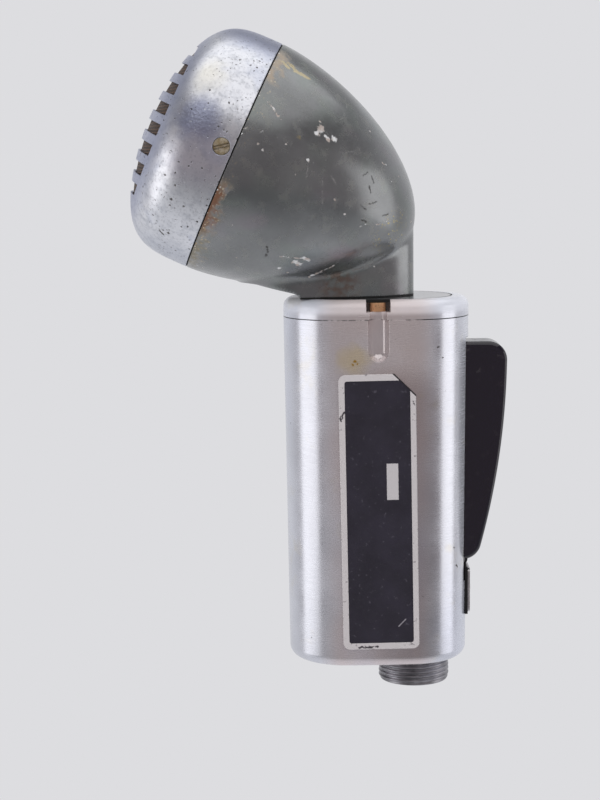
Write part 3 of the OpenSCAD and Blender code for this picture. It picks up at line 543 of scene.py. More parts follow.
def bell_paint(color, axes):
    """Grey-green metallic enamel worn to pale primer, with rust and stains by the seam."""
    finish = Finish("bell_enamel", color, 0.3, 0.85, axes=axes)
    torn, fine_torn = finish.ragged(0.0011, 0.0009), finish.ragged(0.0007, 0.0005)
    rise, ahead = finish.axis("X"), finish.axis("Z")
    cloud, mottle, blotch = finish.noise(0.017, 3), finish.noise(0.0032, 5), finish.noise(0.0022, 4)
    finish.clouded(cloud, 0.3, 0.7, 0.85, 1.12)
    finish.patches((134, 144, 137), finish.noise(0.012, 2, rough=0.4), 0.5, 0.7, 0.35)
    finish.patches((148, 134, 146), finish.noise(0.014, 2, (1, 1, 1.4)), 0.54, 0.72, 0.35)
    finish.patches((130, 142, 148), finish.noise(0.016, 2, (1.2, 1, 1)), 0.55, 0.72, 0.3)
    finish.patches((166, 166, 158), mottle, 0.5, 0.85, 0.4)
    finish.patches((112, 114, 112), finish.noise(0.0009, 3), 0.52, 0.8, 0.3)
    grains = finish.cells(0.0009, fine_torn)
    speckle = finish.band(grains, 0.34, 0.2)
    # stains along the seam
    wide = finish.plus(ahead, finish.band(blotch, 0.3, 0.7, -0.0014, 0.0014))

    def by_seam(faint, full, low, high, soft):
        return finish.times(finish.band(wide, faint, full), finish.between(rise, low, high, soft))

    stain = by_seam(-0.0048, -0.0012, -0.0325, -0.0065, 0.0015)
    rust = by_seam(-0.0036, -0.0006, -0.021, -0.0075, 0.003)
    ochre = by_seam(-0.003, -0.001, -0.0275, -0.0165, 0.002)
    upper = by_seam(-0.0052, -0.0016, 0.0225, 0.0315, 0.0015)
    upper = finish.times(upper, finish.band(mottle, 0.32, 0.6))
    pale = finish.times(finish.band(wide, -0.0042, -0.0014), speckle)
    finish.tint((122, 112, 88), stain, finish.band(mottle, 0.3, 0.6), 0.75)
    finish.tint((116, 72, 44), rust, 0.85)
    finish.tint((186, 152, 96), ochre, speckle)
    finish.tint((160, 144, 124), upper, 0.85)
    finish.tint((176, 168, 150), pale, finish.band(blotch, 0.4, 0.55), 0.8)
    finish.tint((184, 172, 140), finish.marks(BELL_TAN, torn, 0.4, 0.6), 0.9)
    heel_stain = finish.near(finish.ragged(0.004, 0.002), (-0.0015, -0.013, -0.0485), 0.0045, 0.004)
    finish.tint((176, 164, 124), heel_stain, speckle, finish.band(mottle, 0.42, 0.55))
    crease = finish.near(finish.place, (-0.0205, -0.0085, -0.041), 0.003, 0.005)
    finish.tint((116, 84, 66), crease, finish.band(blotch, 0.4, 0.6, 0, 0.6))
    # Painted reflection: a paler, bluer panel on the neck's front stands for the bright
    # surroundings that it reflects.
    front = finish.near(finish.place, (-0.0425, -0.0135, -0.012), 0.006, 0.007)
    finish.tint((184, 188, 198), front, finish.band(cloud, 0.2, 0.6, 0.3, 0.75))
    # paint knocked off
    dots = finish.band(finish.cells(0.0034, torn), 0.12, 0.08)
    dots = finish.times(dots, finish.band(finish.noise(0.009, 2), 0.56, 0.64))
    rim = finish.times(
        finish.band(ahead, -0.0012, -0.0003), finish.band(mottle, 0.47, 0.6), speckle
    )
    chips = finish.most(finish.marks(BELL_CHIPS, torn, 0.3, 0.45), dots, rim)
    scratches = finish.times(
        finish.marks(BELL_SCRATCHES, fine_torn, 0.5, 0.5), finish.band(mottle, 0.34, 0.5)
    )
    finish.tint((190, 192, 190), scratches, 0.8)
    bare = finish.mix(finish.band(blotch, 0.42, 0.58), tone(214, 214, 214), tone(172, 160, 152))
    finish.color = finish.mix(chips, finish.color, bare)
    nicks = finish.marks(BELL_NICKS, fine_torn, 0.5, 0.6)
    finish.tint((62, 60, 58), nicks, 0.8)
    bared = finish.most(chips, stain, upper)
    finish.metal = finish.band(bared, 0, 1, 0.85, 0.1)
    finish.rough = finish.plus(finish.band(mottle, 0.25, 0.8, 0.2, 0.31), finish.times(bared, 0.15))
    finish.bump(finish.noise(0.0006, 2), 0.00002, 0.3)
    finish.bump(finish.noise(0.006, 2), 0.0001, 0.12)
    finish.bump(finish.rest(finish.most(chips, nicks)), 0.00008, 0.6)
    return finish.done()


# Brown pits on the ring, as the bell's marks are given
RING_PITS = (
    ((-26.5, -21, 10), (-27, -20.7, 8.9), 0.35), ((-26.1, -22, 7.7), None, 0.45),
    ((13.9, -30.4, 12.1), None, 0.3), ((24.6, -23.5, 8.3), None, 0.3),
    ((-11.5, -30.5, 14.2), None, 0.35), ((-12.9, -31.2, 10.6), None, 0.4),
    ((-16.9, -29.4, 10.2), None, 0.45), ((-17.2, -29.6, 6.4), None, 0.4),
)


def ring_metal(color, axes):
    """Satin cast metal, dulled by a stained film and pitted, with painted shade in a darker bluish
    band across its middle, and painted glints in that band.
    """
    finish = Finish("ring_satin_metal", color, 0.34, 1.0, 0.0004, axes)
    torn, drifted = finish.ragged(0.0006, 0.0003), finish.ragged(0.004, 0.002)
    film, patch, fine = finish.noise(0.012, 4), finish.noise(0.0026, 4), finish.noise(0.0008, 4)
    finish.clouded(film, 0.32, 0.68, 0.88, 1)
    finish.patches((178, 182, 192), patch, 0.45, 0.72, 0.45)
    finish.patches((158, 162, 168), fine, 0.48, 0.72, 0.4)
    finish.tint((232, 228, 212), finish.near(drifted, (0.0175, -0.0265, 0.0145), 0.001, 0.007), 0.5)
    finish.patches((196, 204, 226), finish.noise(0.01, 2, rough=0.4), 0.54, 0.7, 0.35)
    # Painted shade: a darker, bluer band across the ring's middle, which is also made a little
    # rougher.
    painted_dark_band = finish.near(drifted, (0.0055, -0.0325, 0.0118), 0.0032, 0.0055)
    finish.tint((146, 152, 178), painted_dark_band, 0.85)
    finish.tint((202, 194, 220), finish.near(drifted, (-0.004, -0.0335, 0.0075), 0.004, 0.007), 0.2)
    # Darker and bluer over the dome's front and along its top.
    rim = finish.most(
        finish.band(finish.axis("Z"), 0.0155, 0.0215), finish.band(finish.axis("X"), 0.026, 0.032)
    )
    finish.tint((152, 158, 184), rim, 0.8)
    # Darker towards the ring's lower edge.
    finish.patches((176, 182, 196), finish.axis("X"), -0.026, -0.032, 0.5)
    grain = finish.cells(0.0008, torn)
    # Painted glints: pale grains inside the painted dark band.
    painted_glints = finish.times(painted_dark_band, finish.band(grain, 0.42, 0.2), finish.band(patch, 0.45, 0.6))
    finish.tint((222, 228, 236), painted_glints, 0.7)
    large = finish.band(finish.cells(0.0021, torn), 0.17, 0.1)
    large = finish.times(large, finish.band(finish.noise(0.008, 2), 0.42, 0.54))
    small = finish.band(finish.cells(0.001, torn), 0.24, 0.12)
    small = finish.times(small, finish.band(finish.noise(0.005, 2), 0.46, 0.58), 0.75)
    pits = finish.most(large, small, finish.marks(RING_PITS, torn, 0.4, 0.3))
    finish.tint((88, 84, 78), pits, 0.8)
    gloss = finish.plus(finish.band(film, 0.25, 0.75, 0.38, 0.3), finish.band(painted_dark_band, 0, 1, 0, 0.06))
    gloss = finish.plus(gloss, finish.band(fine, 0.3, 0.7, -0.03, 0.08))
    finish.rough = finish.most(gloss, finish.times(pits, 0.8))
    finish.bump(fine, 0.00005, 0.3)
    finish.bump(patch, 0.00008, 0.15)
    finish.bump(finish.times(grain, painted_dark_band), 0.0001, 0.5)
    finish.bump(finish.rest(pits), 0.00012, 0.7)
    return finish.done()


def brushed_metal(name, color, rough, lines_depth=0.0000018):
    """Polished casting, brushed level all the way round, with a dirty joint under the cap."""
    finish = Finish(name, color, rough, 1.0)
    lines = finish.noise(0.0001, 2, (36, 36, 1))
    broad = finish.noise(0.004, 3, (6, 6, 1))
    film, patch = finish.noise(0.013, 4), finish.noise(0.03, 2)
    finish.clouded(film, 0.3, 0.7, 0.88, 1)
    high, across = finish.axis("Z"), finish.axis("X")
    face = finish.between(across, GRIP_MIDDLE.x - 0.0145, GRIP_MIDDLE.x + 0.014, 0.004)
    # Painted reflection: a warm pink cast over the face, standing for the warm room before the
    # grip. The face is also warmer and darker towards its top.
    finish.tint((218, 202, 200), face, finish.band(patch, 0.3, 0.6, 0.3, 0.7))
    finish.tint((200, 184, 172), face, finish.band(high, 0.05, 0.095, 0, 0.25))
    finish.patches((202, 206, 222), finish.noise(0.024, 2, (1, 1, 2)), 0.52, 0.72, 0.4)
    finish.patches((214, 206, 184), finish.noise(0.009, 3), 0.58, 0.74, 0.3)
    worked = finish.band(lines, 0.35, 0.8, 0, 0.1)
    finish.color = finish.mix(worked, finish.color, shade(color, 0.7))
    specks = finish.band(finish.cells(0.0034, finish.ragged(0.0008, 0.0003)), 0.08, 0.05)
    specks = finish.times(specks, finish.band(finish.noise(0.012, 2), 0.52, 0.6))
    finish.tint((96, 90, 84), specks, 0.6)
    joint = finish.between(high, GRIP_TOP - 0.00013, GRIP_TOP + 0.00013, 0.00004)
    middle = finish.between(across, GRIP_MIDDLE.x - 0.0155, GRIP_MIDDLE.x + 0.011, 0.003)
    dots = finish.band(finish.noise(0.0009, 3), 0.5, 0.6)
    joint = finish.times(joint, finish.blend(middle, 1.0, finish.times(dots, 0.8)))
    finish.tint((24, 24, 26), joint)
    finish.rough = finish.plus(
        finish.band(film, 0.25, 0.75, rough * 0.85, rough * 1.2),
        finish.band(lines, 0.3, 0.7, -0.03, 0.05),
    )
    relief = finish.times(
        finish.between(across, GRIP_MIDDLE.x - 0.004, GRIP_MIDDLE.x + 0.004, 0.0002),
        finish.band(high, 0.086, 0.087),
    )
    relief = finish.times(relief, finish.band(finish.axis("Y"), -0.0172, -0.0169))
    finish.rough = finish.blend(relief, finish.rough, 0.13)
    finish.bump(lines, lines_depth, 0.5)
    finish.bump(broad, 0.00003, 0.2)
    return finish


# Head


SEAM_GAP = 0.0002


def head_place(head):
    """The head's own axes: X up its side, Z towards the grille, from the seam's middle."""
    return Matrix.Translation(SEAM_MIDDLE) @ Matrix.Rotation(head.tilt - math.pi / 2, 4, "Y")


def placed(rows, place):
    turn = np.array(place.to_3x3())
    shift = np.array(place.translation)
    return [row @ turn.T + shift for row in rows]


BELL_POWER, BELL_BLUNT = 1.65, 0.55
DOME_POWER, DOME_BLUNT = 1.7, 0.24


def bell_profile(head, inset, count):
    """(radius, height) from the seam back to the tip, a given distance inside the bell."""
    radius, reach = head.radius - inset, head.bell_reach - inset
    back = np.sin(np.linspace(0, math.pi / 2, 400)) * reach
    wide = radius * np.maximum(0, 1 - (back / reach) ** BELL_POWER) ** BELL_BLUNT
    return spaced(np.column_stack([wide, -back]), count)


def bell_distance(head, points, place):
    """Signed distance from the bell, near its surface."""
    inverse = np.array(place.inverted())
    local = points @ inverse[:3, :3].T + inverse[:3, 3]
    wide = np.maximum(np.hypot(local[:, 0], local[:, 1]), 1e-6)
    back = np.maximum(-local[:, 2], 1e-6)
    power = 1 / BELL_BLUNT
    value = (wide / head.radius) ** power + (back / head.bell_reach) ** BELL_POWER - 1
    slope = np.hypot(
        power * wide ** (power - 1) / head.radius**power,
        BELL_POWER * back ** (BELL_POWER - 1) / head.bell_reach**BELL_POWER,
    )
    return value / slope


FOOT_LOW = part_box("neck_gasket")[1].z
FOOT_FRONT, FOOT_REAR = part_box("neck_gasket")[0].x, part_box("neck_gasket")[1].x
FOOT_HALF, FOOT_MIDDLE = node_size("neck_gasket").y / 2, 0.0155
CHIN_REACH, CHIN_RISE, CHIN_STEP = 0.016, 0.0036, 0.0006
STEP_SLOPE, STEP_COSINE = 0.6, 0.857
NECK_HIGH = CAP_TOP + 0.021
LIP_REACH, LIP_WALL = 0.007, 0.002


def softer(a, b, size):
    """The smaller of two distances, with the corner between them filled."""
    size = np.maximum(size, 1e-7)
    share = np.clip(0.5 + 0.5 * (b - a) / size, 0, 1)
    return b + (a - b) * share - size * share * (1 - share)


def neck_distance(points):
    """Signed distance from the neck: half an ellipse in plan, with a chin before it."""
    x, y, z = points[:, 0] - FOOT_FRONT, points[:, 1], points[:, 2]
    long = np.where(x > 0, FOOT_REAR - FOOT_FRONT, CHIN_REACH)
    value = (x / long) ** 2 + (y / FOOT_HALF) ** 2 - 1
    slope = 2 * np.hypot(x / long**2, y / FOOT_HALF**2)
    side = value / np.maximum(slope, 60) + np.maximum(0, z - NECK_HIGH)
    lean = math.atan2(CHIN_RISE, CHIN_REACH)
    chin = (FOOT_LOW + CHIN_STEP - x * math.tan(lean) - z) * math.cos(lean)
    step = (FOOT_LOW - x * STEP_SLOPE - z) * STEP_COSINE
    under = np.where(x < 0.0005, np.minimum(chin, step), -1)
    return -softer(-side, -under, 0.0008)


def blended_distance(head, points, place):
    """The bell and the neck as one form, with a hollow fillet where they meet at an angle."""
    step = 0.00005
    bell, neck = bell_distance(head, points, place), neck_distance(points)
    turns = []
    for shift in np.eye(3) * step:
        bell_turn = bell_distance(head, points + shift, place) - bell
        turns.append(bell_turn * (neck_distance(points + shift) - neck))
    together = np.clip(sum(turns) / step**2, -1, 1)
    return softer(bell, neck, head.fillet * np.clip(1 - together, 0, 1))


def foot_outline(angles):
    """Where rays from the foot's middle cross its outline, half an ellipse."""
    middle = FOOT_FRONT + FOOT_MIDDLE
    reach = np.linspace(0, 0.04, 4001)
    points = []
    for angle in angles:
        x = middle + reach * math.cos(angle)
        y = reach * math.sin(angle)
        inside = (x >= FOOT_FRONT) & (
            ((x - FOOT_FRONT) / (FOOT_REAR - FOOT_FRONT)) ** 2 + (y / FOOT_HALF) ** 2 <= 1
        )
        last = np.nonzero(inside)[0][-1]
        points.append((x[last], y[last], FOOT_LOW))
    return np.array(points)


def unit_rows(rows):
    return rows / np.linalg.norm(rows, axis=1)[:, None]


def make_bell(head):
    """The bell and neck in one skin, where rays from the head's heart leave the blended form."""
    place = head_place(head)
    steps, run = 224, 132
    angles = np.arange(steps) * math.tau / steps
    seam = placed(turned([(head.radius, -SEAM_GAP)], steps), place)[0]
    foot = foot_outline(angles)
    heart = np.array((-0.001, 0.0, CAP_TOP + 0.0265))
    lead, tail = unit_rows(seam - heart), unit_rows(foot - heart)
    # the rays swing from the seam to the foot by way of a waist that leans as the head does
    ahead = np.outer(np.cos(angles), (0.8, 0, 0.55))
    aside = np.outer(np.sin(angles), (0, 1, 0))
    waist = unit_rows(ahead + aside + (0.05, 0, -0.09))
    rows = [seam]
    for t in np.linspace(0, 1, run)[1:-1]:
        way = unit_rows((1 - t) ** 2 * lead + 2 * t * (1 - t) * waist + t * t * tail)
        near, far = np.zeros(steps), np.full(steps, 0.08)
        for _ in range(24):
            middle = (near + far) / 2
            outside = blended_distance(head, heart + way * middle[:, None], place) > 0
            near, far = np.where(outside, near, middle), np.where(outside, middle, far)
        rows.append(heart + way * near[:, None])
    rows.append(foot)
    wall = bell_profile(head, head.bell_wall, 24)[::-1]
    wall = wall[(wall[:, 1] < -LIP_REACH) & (wall[:, 0] > 1e-4)]
    lip_out = head.radius - head.ring_wall - SEAM_GAP
    lip_in = lip_out - LIP_WALL
    inside = [*wall, (lip_in, -LIP_REACH), (lip_in, LIP_REACH), (lip_out, LIP_REACH)]
    inside += [(lip_out, -SEAM_GAP), (head.radius - SEAM_GAP, -SEAM_GAP)]
    made = skin("bell_and_neck", turned(inside, steps) + placed(rows, place.inverted()), 50)
    made.data.transform(place)
    dress(made, bell_paint(tuple(bpy.context.scene.mic_finish.paint), place))
    return on_body(made, "grip", "bell_paint", "head_shell")


def dome_height(wide, radius, reach):
    return reach * np.maximum(0, 1 - (wide / radius) ** DOME_POWER) ** DOME_BLUNT


def dome_profile(radius, reach, count, low):
    """(radius, height) of the ring's dome, from its rim to its middle."""
    turn = np.linspace(0, math.pi / 2, 4000)
    wide = radius * np.cos(turn) ** (2 / DOME_POWER)
    high = reach * np.sin(turn) ** (2 * DOME_BLUNT)
    rim = radius * (1 - (low / reach) ** (1 / DOME_BLUNT)) ** (1 / DOME_POWER)
    curve = np.column_stack([wide, high])[high >= low]
    return spaced(np.vstack([[rim, low], curve]), count)


SCREW_RISE, SCREW_AHEAD, SCREW_RADIUS, SCREW_DEPTH = 0.0016, 0.0033, 0.00235, 0.00042
WELL_RADIUS, WELL_DEPTH = 0.0024, 0.0011


def side_place(head, side, depth):
    """Looks straight out of the ring's side, this far under its widest line."""
    return (
        Matrix.Translation((SCREW_RISE, 0, SCREW_AHEAD))
        @ Matrix.Rotation(-side * math.pi / 2, 4, "X")
        @ Matrix.Translation((0, 0, head.radius - depth))
    )


def make_ring(head):
    """The domed grille, with its slots cut through a form turned about the head's own axis."""
    steps = 256
    outer = dome_profile(head.radius, head.ring_reach, 84, SEAM_GAP)
    wall = head.ring_wall
    inner = dome_profile(head.radius - wall, head.ring_reach - wall, 48, SEAM_GAP)
    seat = head.slot_field + 0.0012
    wide = np.linspace(seat, 0.0002, 24)
    high = dome_height(wide, head.radius - head.bars, head.ring_reach - head.bars)
    behind_bars = np.column_stack([wide, high])
    profile = [*behind_bars[::-1], *inner[inner[:, 0] > seat][::-1], *outer[:-1]]
    ring = skin("grille", turned(profile, steps))
    first = head.slot_rise - (head.slots - 1) / 2 * head.slot_pitch
    for i in range(head.slots):
        middle = first + i * head.slot_pitch
        across = np.linspace(middle - head.slot_width / 2, middle + head.slot_width / 2, 9)
        reach = np.sqrt(np.maximum(1e-8, head.slot_field**2 - across**2))
        outline = [*zip(across, -reach), *zip(across[::-1], reach[::-1])]
        cut(ring, prism("slot", outline, head.ring_reach / 2, head.ring_reach * 1.2))
    for side in (-1, 1):
        well = skin("well", turned([(WELL_RADIUS, 0), (WELL_RADIUS, 0.003)], 48))
        well.matrix_world = side_place(head, side, WELL_DEPTH)
        cut(ring, well)
    part_edges(ring, 32)
    ring.data.transform(head_place(head))
    dress(ring, ring_metal(tuple(bpy.context.scene.mic_finish.ring), head_place(head)))
    return on_body(ring, "grip", "ring_metal", "grille_ring")


def make_ring_screws(head):
    """The two slotted screws at the ring's sides, low domes in their wells."""
    radius, gap, low, edge, crown = SCREW_RADIUS, 0.0004, -0.0007, 0.0001, 0.0002
    profile = [(0.0001, low), (radius, low), (radius, 0), (radius * 0.97, edge)]
    profile += [(radius * r, edge + crown * (1 - r * r)) for r in (0.85, 0.6, 0.3, 0.02)]
    slot = [(-gap, -0.003), (gap, -0.003), (gap, 0.003), (-gap, 0.003)]
    screws = []
    for side, turn in ((-1, 36), (1, -20)):
        screw = skin("screw", turned(profile, 48))
        cut(screw, prism("screw_slot", slot, -0.0003, 0.001))
        spin = Matrix.Rotation(math.radians(turn), 4, "Z")
        screw.matrix_world = head_place(head) @ side_place(head, side, SCREW_DEPTH) @ spin
        screws.append(screw)
    bpy.context.view_layer.update()
    made = joined("grille_screws", screws)
    part_edges(made, 35)
    dress(made, worn_brass())
    return on_body(made, "grip", "brass", "ring_screws")


def worn_brass():
    """Plated brass worn yellow, with dirt in its slot and round its edge."""
    finish = Finish("worn_brass", tone(206, 196, 172), 0.36, 1.0, rounding=0.0001)
    patch, fine = finish.noise(0.0013, 4), finish.noise(0.0004, 4)
    yellow = finish.band(patch, 0.35, 0.65)
    finish.color = finish.mix(yellow, tone(238, 230, 206), tone(202, 186, 146))
    finish.patches((120, 110, 88), fine, 0.5, 0.7, 0.5)
    finish.tint((52, 44, 34), finish.worn_edges(0.0007, 0.04, 0.3))
    finish.rough = finish.band(fine, 0.3, 0.7, 0.28, 0.5)
    finish.bump(fine, 0.00004, 0.5)
    return finish.done()


class MIC_OT_bell(bpy.types.Operator):
    """Builds the painted bell with its neck"""

    bl_idname = "mic.bell"
    bl_label = "Bell and neck"

    def execute(self, context):
        make_bell(context.scene.mic_head)
        return {"FINISHED"}


class MIC_OT_grille(bpy.types.Operator):
    """Builds the slotted grille with its screen and screws"""

    bl_idname = "mic.grille"
    bl_label = "Grille"

    def execute(self, context):
        make_ring(context.scene.mic_head)
        screen = Finish("bronze_screen", tone(70, 50, 38), 0.55, 0.6)
        weave = screen.weave(0.0009)
        screen.color = screen.mix(weave, tone(28, 20, 16), tone(104, 78, 58))
        screen.bump(weave, 0.0002)
        dress_nodes(screen.done(), "grille_screen")
        make_ring_screws(context.scene.mic_head)
        dress_nodes(plain_finish("seam_rubber", (18, 18, 18), 0.8), "seam_gasket")
        return {"FINISHED"}


# Grip


# Marks on the grip in the model's axes, as (start, end or None, half width) in millimetres
GRIP_STAINS = (
    ((3.4, -17.4, 88.6), None, 0.5), ((2.6, -17.4, 87.6), None, 0.35),
    ((4.1, -17.4, 87.9), None, 0.3),
)
GRIP_NICKS = (
    ((31.8, -11.6, 33.8), None, 0.35), ((32.6, -10.5, 28.4), (33.6, -9.3, 26.8), 0.3),
    ((26.7, -15.6, 92), None, 0.3), ((28.2, -14.7, 89), None, 0.35), ((24.6, -16.6, 82), None, 0.3),
)


def grip_metal(color):
    """The grip's brushed casting, stained and nicked, with painted light: less metallic, and so
    lighter, on its face and by the lever.
    """
    finish = brushed_metal("grip_brushed_metal", color, 0.24)
    torn = finish.ragged(0.0012, 0.0008)
    halo = finish.near(finish.ragged(0.005, 0.003), (0.0032, -0.0175, 0.0885), 0.0015, 0.005)
    finish.tint((214, 200, 176), halo)
    finish.tint((178, 138, 48), finish.marks(GRIP_STAINS, torn))
    finish.tint((60, 54, 48), finish.marks(GRIP_NICKS, torn))
    across = finish.axis("X")
    # Painted light: the left and the top of the face, and a strip along the right edge beside the
    # lever, are made less metallic so that they show lighter.
    lightened_face = finish.most(
        finish.band(across, GRIP_MIDDLE.x + 0.009, GRIP_MIDDLE.x - 0.009, 0, 0.3),
        finish.band(finish.axis("Z"), 0.078, 0.09, 0, 0.3),
    )
    lightened_face = finish.times(
        lightened_face, finish.between(across, GRIP_MIDDLE.x - 0.017, GRIP_MIDDLE.x + 0.0165, 0.0025)
    )
    beside_lever = finish.band(across, GRIP_MIDDLE.x + 0.0212, GRIP_MIDDLE.x + 0.0232, 0, 0.42)
    finish.metal = finish.rest(finish.most(lightened_face, beside_lever))
    return finish.done()


def even_normals(made):
    """Keeps broad flat faces flat beside their rounded edges."""
    step = made.modifiers.new("even normals", "WEIGHTED_NORMAL")
    step.keep_sharp = True


class MIC_OT_grip(bpy.types.Operator):
    """Dresses the grip, cap, foot plate, seals and cap screws"""

    bl_idname = "mic.grip"
    bl_label = "Grip and cap"

    def execute(self, context):
        metal = tuple(context.scene.mic_finish.metal)
        dress_nodes(grip_metal(metal), "grip_body")
        cap = brushed_metal("cap_polished_metal", metal, 0.2, lines_depth=0.000002)
        cap.metal = cap.band(cap.axis("Z"), GRIP_TOP + 0.0008, GRIP_TOP + 0.0026, 0.7, 0.12)
        dress_nodes(cap.done(), "top_cap")
        dress_nodes(plain_finish("foot_plate_metal", (186, 186, 188), 0.2, 1.0), "foot_plate")
        # The seal and the gasket are near-black. The gasket also stands in for the shadow in the
        # gap under the neck, and the seal gives the dark crescent beside it.
        dress_nodes(plain_finish("seal_rubber", (14, 14, 14), 0.55), "plate_seal", "neck_gasket")
        copper = plain_finish("copper_screw", (236, 180, 136), 0.3, 0.7, 0.0005, 0.3)
        dress_nodes(copper, "cap_screws")
        return {"FINISHED"}


# Name plate


PLATE_LEAN = math.radians(0.7)
PLATE_HALF = (0.0109, 0.03965)
PLATE_BORDER = (0.0017, 0.00185)
PLATE_NICK = 0.0061


def plate_outline(inset_x, inset_y, corner, slant):
    """The plate's outline from its lower left, with its nick this far inside the plate's own."""
    width, height = PLATE_HALF[0] - inset_x, PLATE_HALF[1] - inset_y
    outline = []
    for x, y, start in ((-1, -1, 180), (1, -1, 270), (-1, 1, 90)):
        at_x, at_y = x * (width - corner), y * (height - corner)
        arc = [math.radians(start + 15 * i) for i in range(7)]
        outline.append([(at_x + corner * math.cos(a), at_y + corner * math.sin(a)) for a in arc])
    line = sum(PLATE_HALF) - PLATE_NICK - slant * math.sqrt(2)
    return [*outline[0], *outline[1], (width, line - width), (line - height, height), *outline[2]]


class MIC_OT_plate(bpy.types.Operator):
    """Builds the bare name plate with its worn silver border"""

    bl_idname = "mic.plate"
    bl_label = "Name plate"

    def execute(self, context):
        middle, lean = node_middle("name_plate"), math.radians(0.5)
        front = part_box("grip_body")[0].y + (GRIP_TOP - middle.z) * math.tan(lean)
        place = (
            Matrix.Translation((middle.x, front, middle.z))
            @ Matrix.Rotation(math.pi / 2 + lean, 4, "X")
            @ Matrix.Rotation(PLATE_LEAN, 4, "Z")
        )
        edge = plate_outline(0, 0, 0.002, 0)
        bevel = plate_outline(0.0001, 0.0001, 0.0019, 0.0001)
        border = plate_outline(*PLATE_BORDER, 0.0007, 0.00022)
        levels = [
            (edge, 0.00001), (edge, 0.00028), (bevel, 0.00038), (border, 0.00038), (border, 0.0003)
        ]
        made = skin("name_plate_blank", [at_height(*level) for level in levels])
        dress(made, plate_silver(), plate_field(tuple(context.scene.mic_finish.plate)))
        made.data.polygons[-1].material_index = 1
        made.matrix_world = place
        on_body(made, "grip", "plate_print", "name_plate")
        return {"FINISHED"}


# Places where the border is worn through, as the grip's marks but in the plate's own axes
BORDER_WEAR = (
    ((-9.4, 28.9, 0.4), (-9.9, 27.6, 0.4), 0.3), ((-10.4, 27.9, 0.4), (-10.1, 26.6, 0.4), 0.3),
    ((-6.5, -38.9, 0.4), (-1.2, -38.9, 0.4), 0.28), ((9.9, 32, 0.4), (10.4, 30.6, 0.4), 0.2),
)


def plate_silver():
    """Bare silvered border, worn through in places and dark along its cut corner, with a painted
    shadow line down its right edge.
    """
    finish = Finish("plate_border_silver", tone(204, 198, 198), 0.42, 0.15, rounding=0.0001)
    torn = finish.ragged(0.0012, 0.0009)
    wear = finish.noise(0.0013, 5)
    worn = finish.band(wear, 0.62, 0.7)
    finish.color = finish.mix(worn, tone(206, 200, 200), tone(150, 144, 146))
    finish.tint((66, 60, 66), finish.marks(BORDER_WEAR, torn, 0.4))
    slope = finish.plus(finish.axis("X"), finish.axis("Y"))
    nick = sum(PLATE_HALF) - PLATE_NICK
    finish.tint((30, 27, 32), finish.band(slope, nick - 0.0006, nick - 0.0004))
    # Painted shadow: a dark line down the border's right edge.
    edge = finish.band(finish.axis("X"), PLATE_HALF[0] - 0.0002, PLATE_HALF[0] - 0.0001, 0, 0.75)
    finish.tint((88, 78, 84), edge)
    finish.rough = finish.band(wear, 0.3, 0.7, 0.35, 0.6)
    finish.bump(wear, 0.00004, 0.5)
    return finish.done()


def plate_field(color):
    """Etched dark field, a little dusty, with one bare window."""
    finish = Finish("plate_dark_field", color, 0.45, rounding=0)
    dust, cloud = finish.noise(0.0011, 5), finish.noise(0.012, 3)
    finish.clouded(cloud, 0.3, 0.7, 0.85, 1.25)
    finish.patches((104, 98, 110), dust, 0.62, 0.74, 0.35)
    torn = finish.ragged(0.0005, 0.00012)
    window = finish.times(
        finish.between(finish.axis("X", torn), 0.00225, 0.0055, 0.00008),
        finish.between(finish.axis("Y", torn), 0.0038, 0.0142, 0.00008),
    )
    finish.tint((192, 187, 188), window)
    scratch = finish.marks([((5, -33, 0.3), (7, -31, 0.3), 0.16)], torn, 0.4)
    finish.tint((160, 154, 160), scratch, 0.7)
    finish.rough = finish.band(dust, 0.3, 0.7, 0.36, 0.52)
    finish.bump(dust, 0.00003, 0.35)
    finish.bump(window, 0.00004, 0.4)
    return finish.done()


# Talk lever


LEVER_CORNER, LEVER_BOW, LEVER_HEEL, LEVER_EAR = 0.0054, 0.22, 0.0055, 0.0022
LEVER_PROUD, LEVER_TAIL = 0.0109, 0.0024
LEVER_TOP = GRIP_TOP - 0.0076


def lever_outline(inset):
    """The lever's side view: a round top corner, a long bow, a round heel and the pivot's ear."""
    out, top = LEVER_BOX[1].x, LEVER_TOP
    bow_z, heel_z = top - LEVER_CORNER / 2, PIVOT.z + LEVER_HEEL - 0.0002
    end = math.asin((bow_z - heel_z) / (LEVER_BOW - LEVER_HEEL))
    heel_x = out - LEVER_BOW + (LEVER_BOW - LEVER_HEEL) * math.cos(end)

    def arc(x, z, radius, start, stop, steps):
        turns = np.linspace(start, stop, steps)
        return [
            (x + (radius - inset) * math.cos(a), z + (radius - inset) * math.sin(a)) for a in turns
        ]

    return [
        (out - LEVER_PROUD - LEVER_TAIL, top - inset),
        *arc(out - LEVER_CORNER, top - LEVER_CORNER, LEVER_CORNER, math.pi / 2, 0, 14),
        *arc(out - LEVER_BOW, bow_z, LEVER_BOW, math.radians(-1), -end, 24),
        *arc(heel_x, heel_z, LEVER_HEEL, -end, -math.pi / 2, 12),
        *arc(PIVOT.x, PIVOT.z, LEVER_EAR, -math.pi / 2, -math.pi, 8),
    ]


def upright_rows(sides):
    """The lever's side view at each (inset, y)."""
    return [np.array([(x, y, z) for x, z in lever_outline(inset)]) for inset, y in sides]


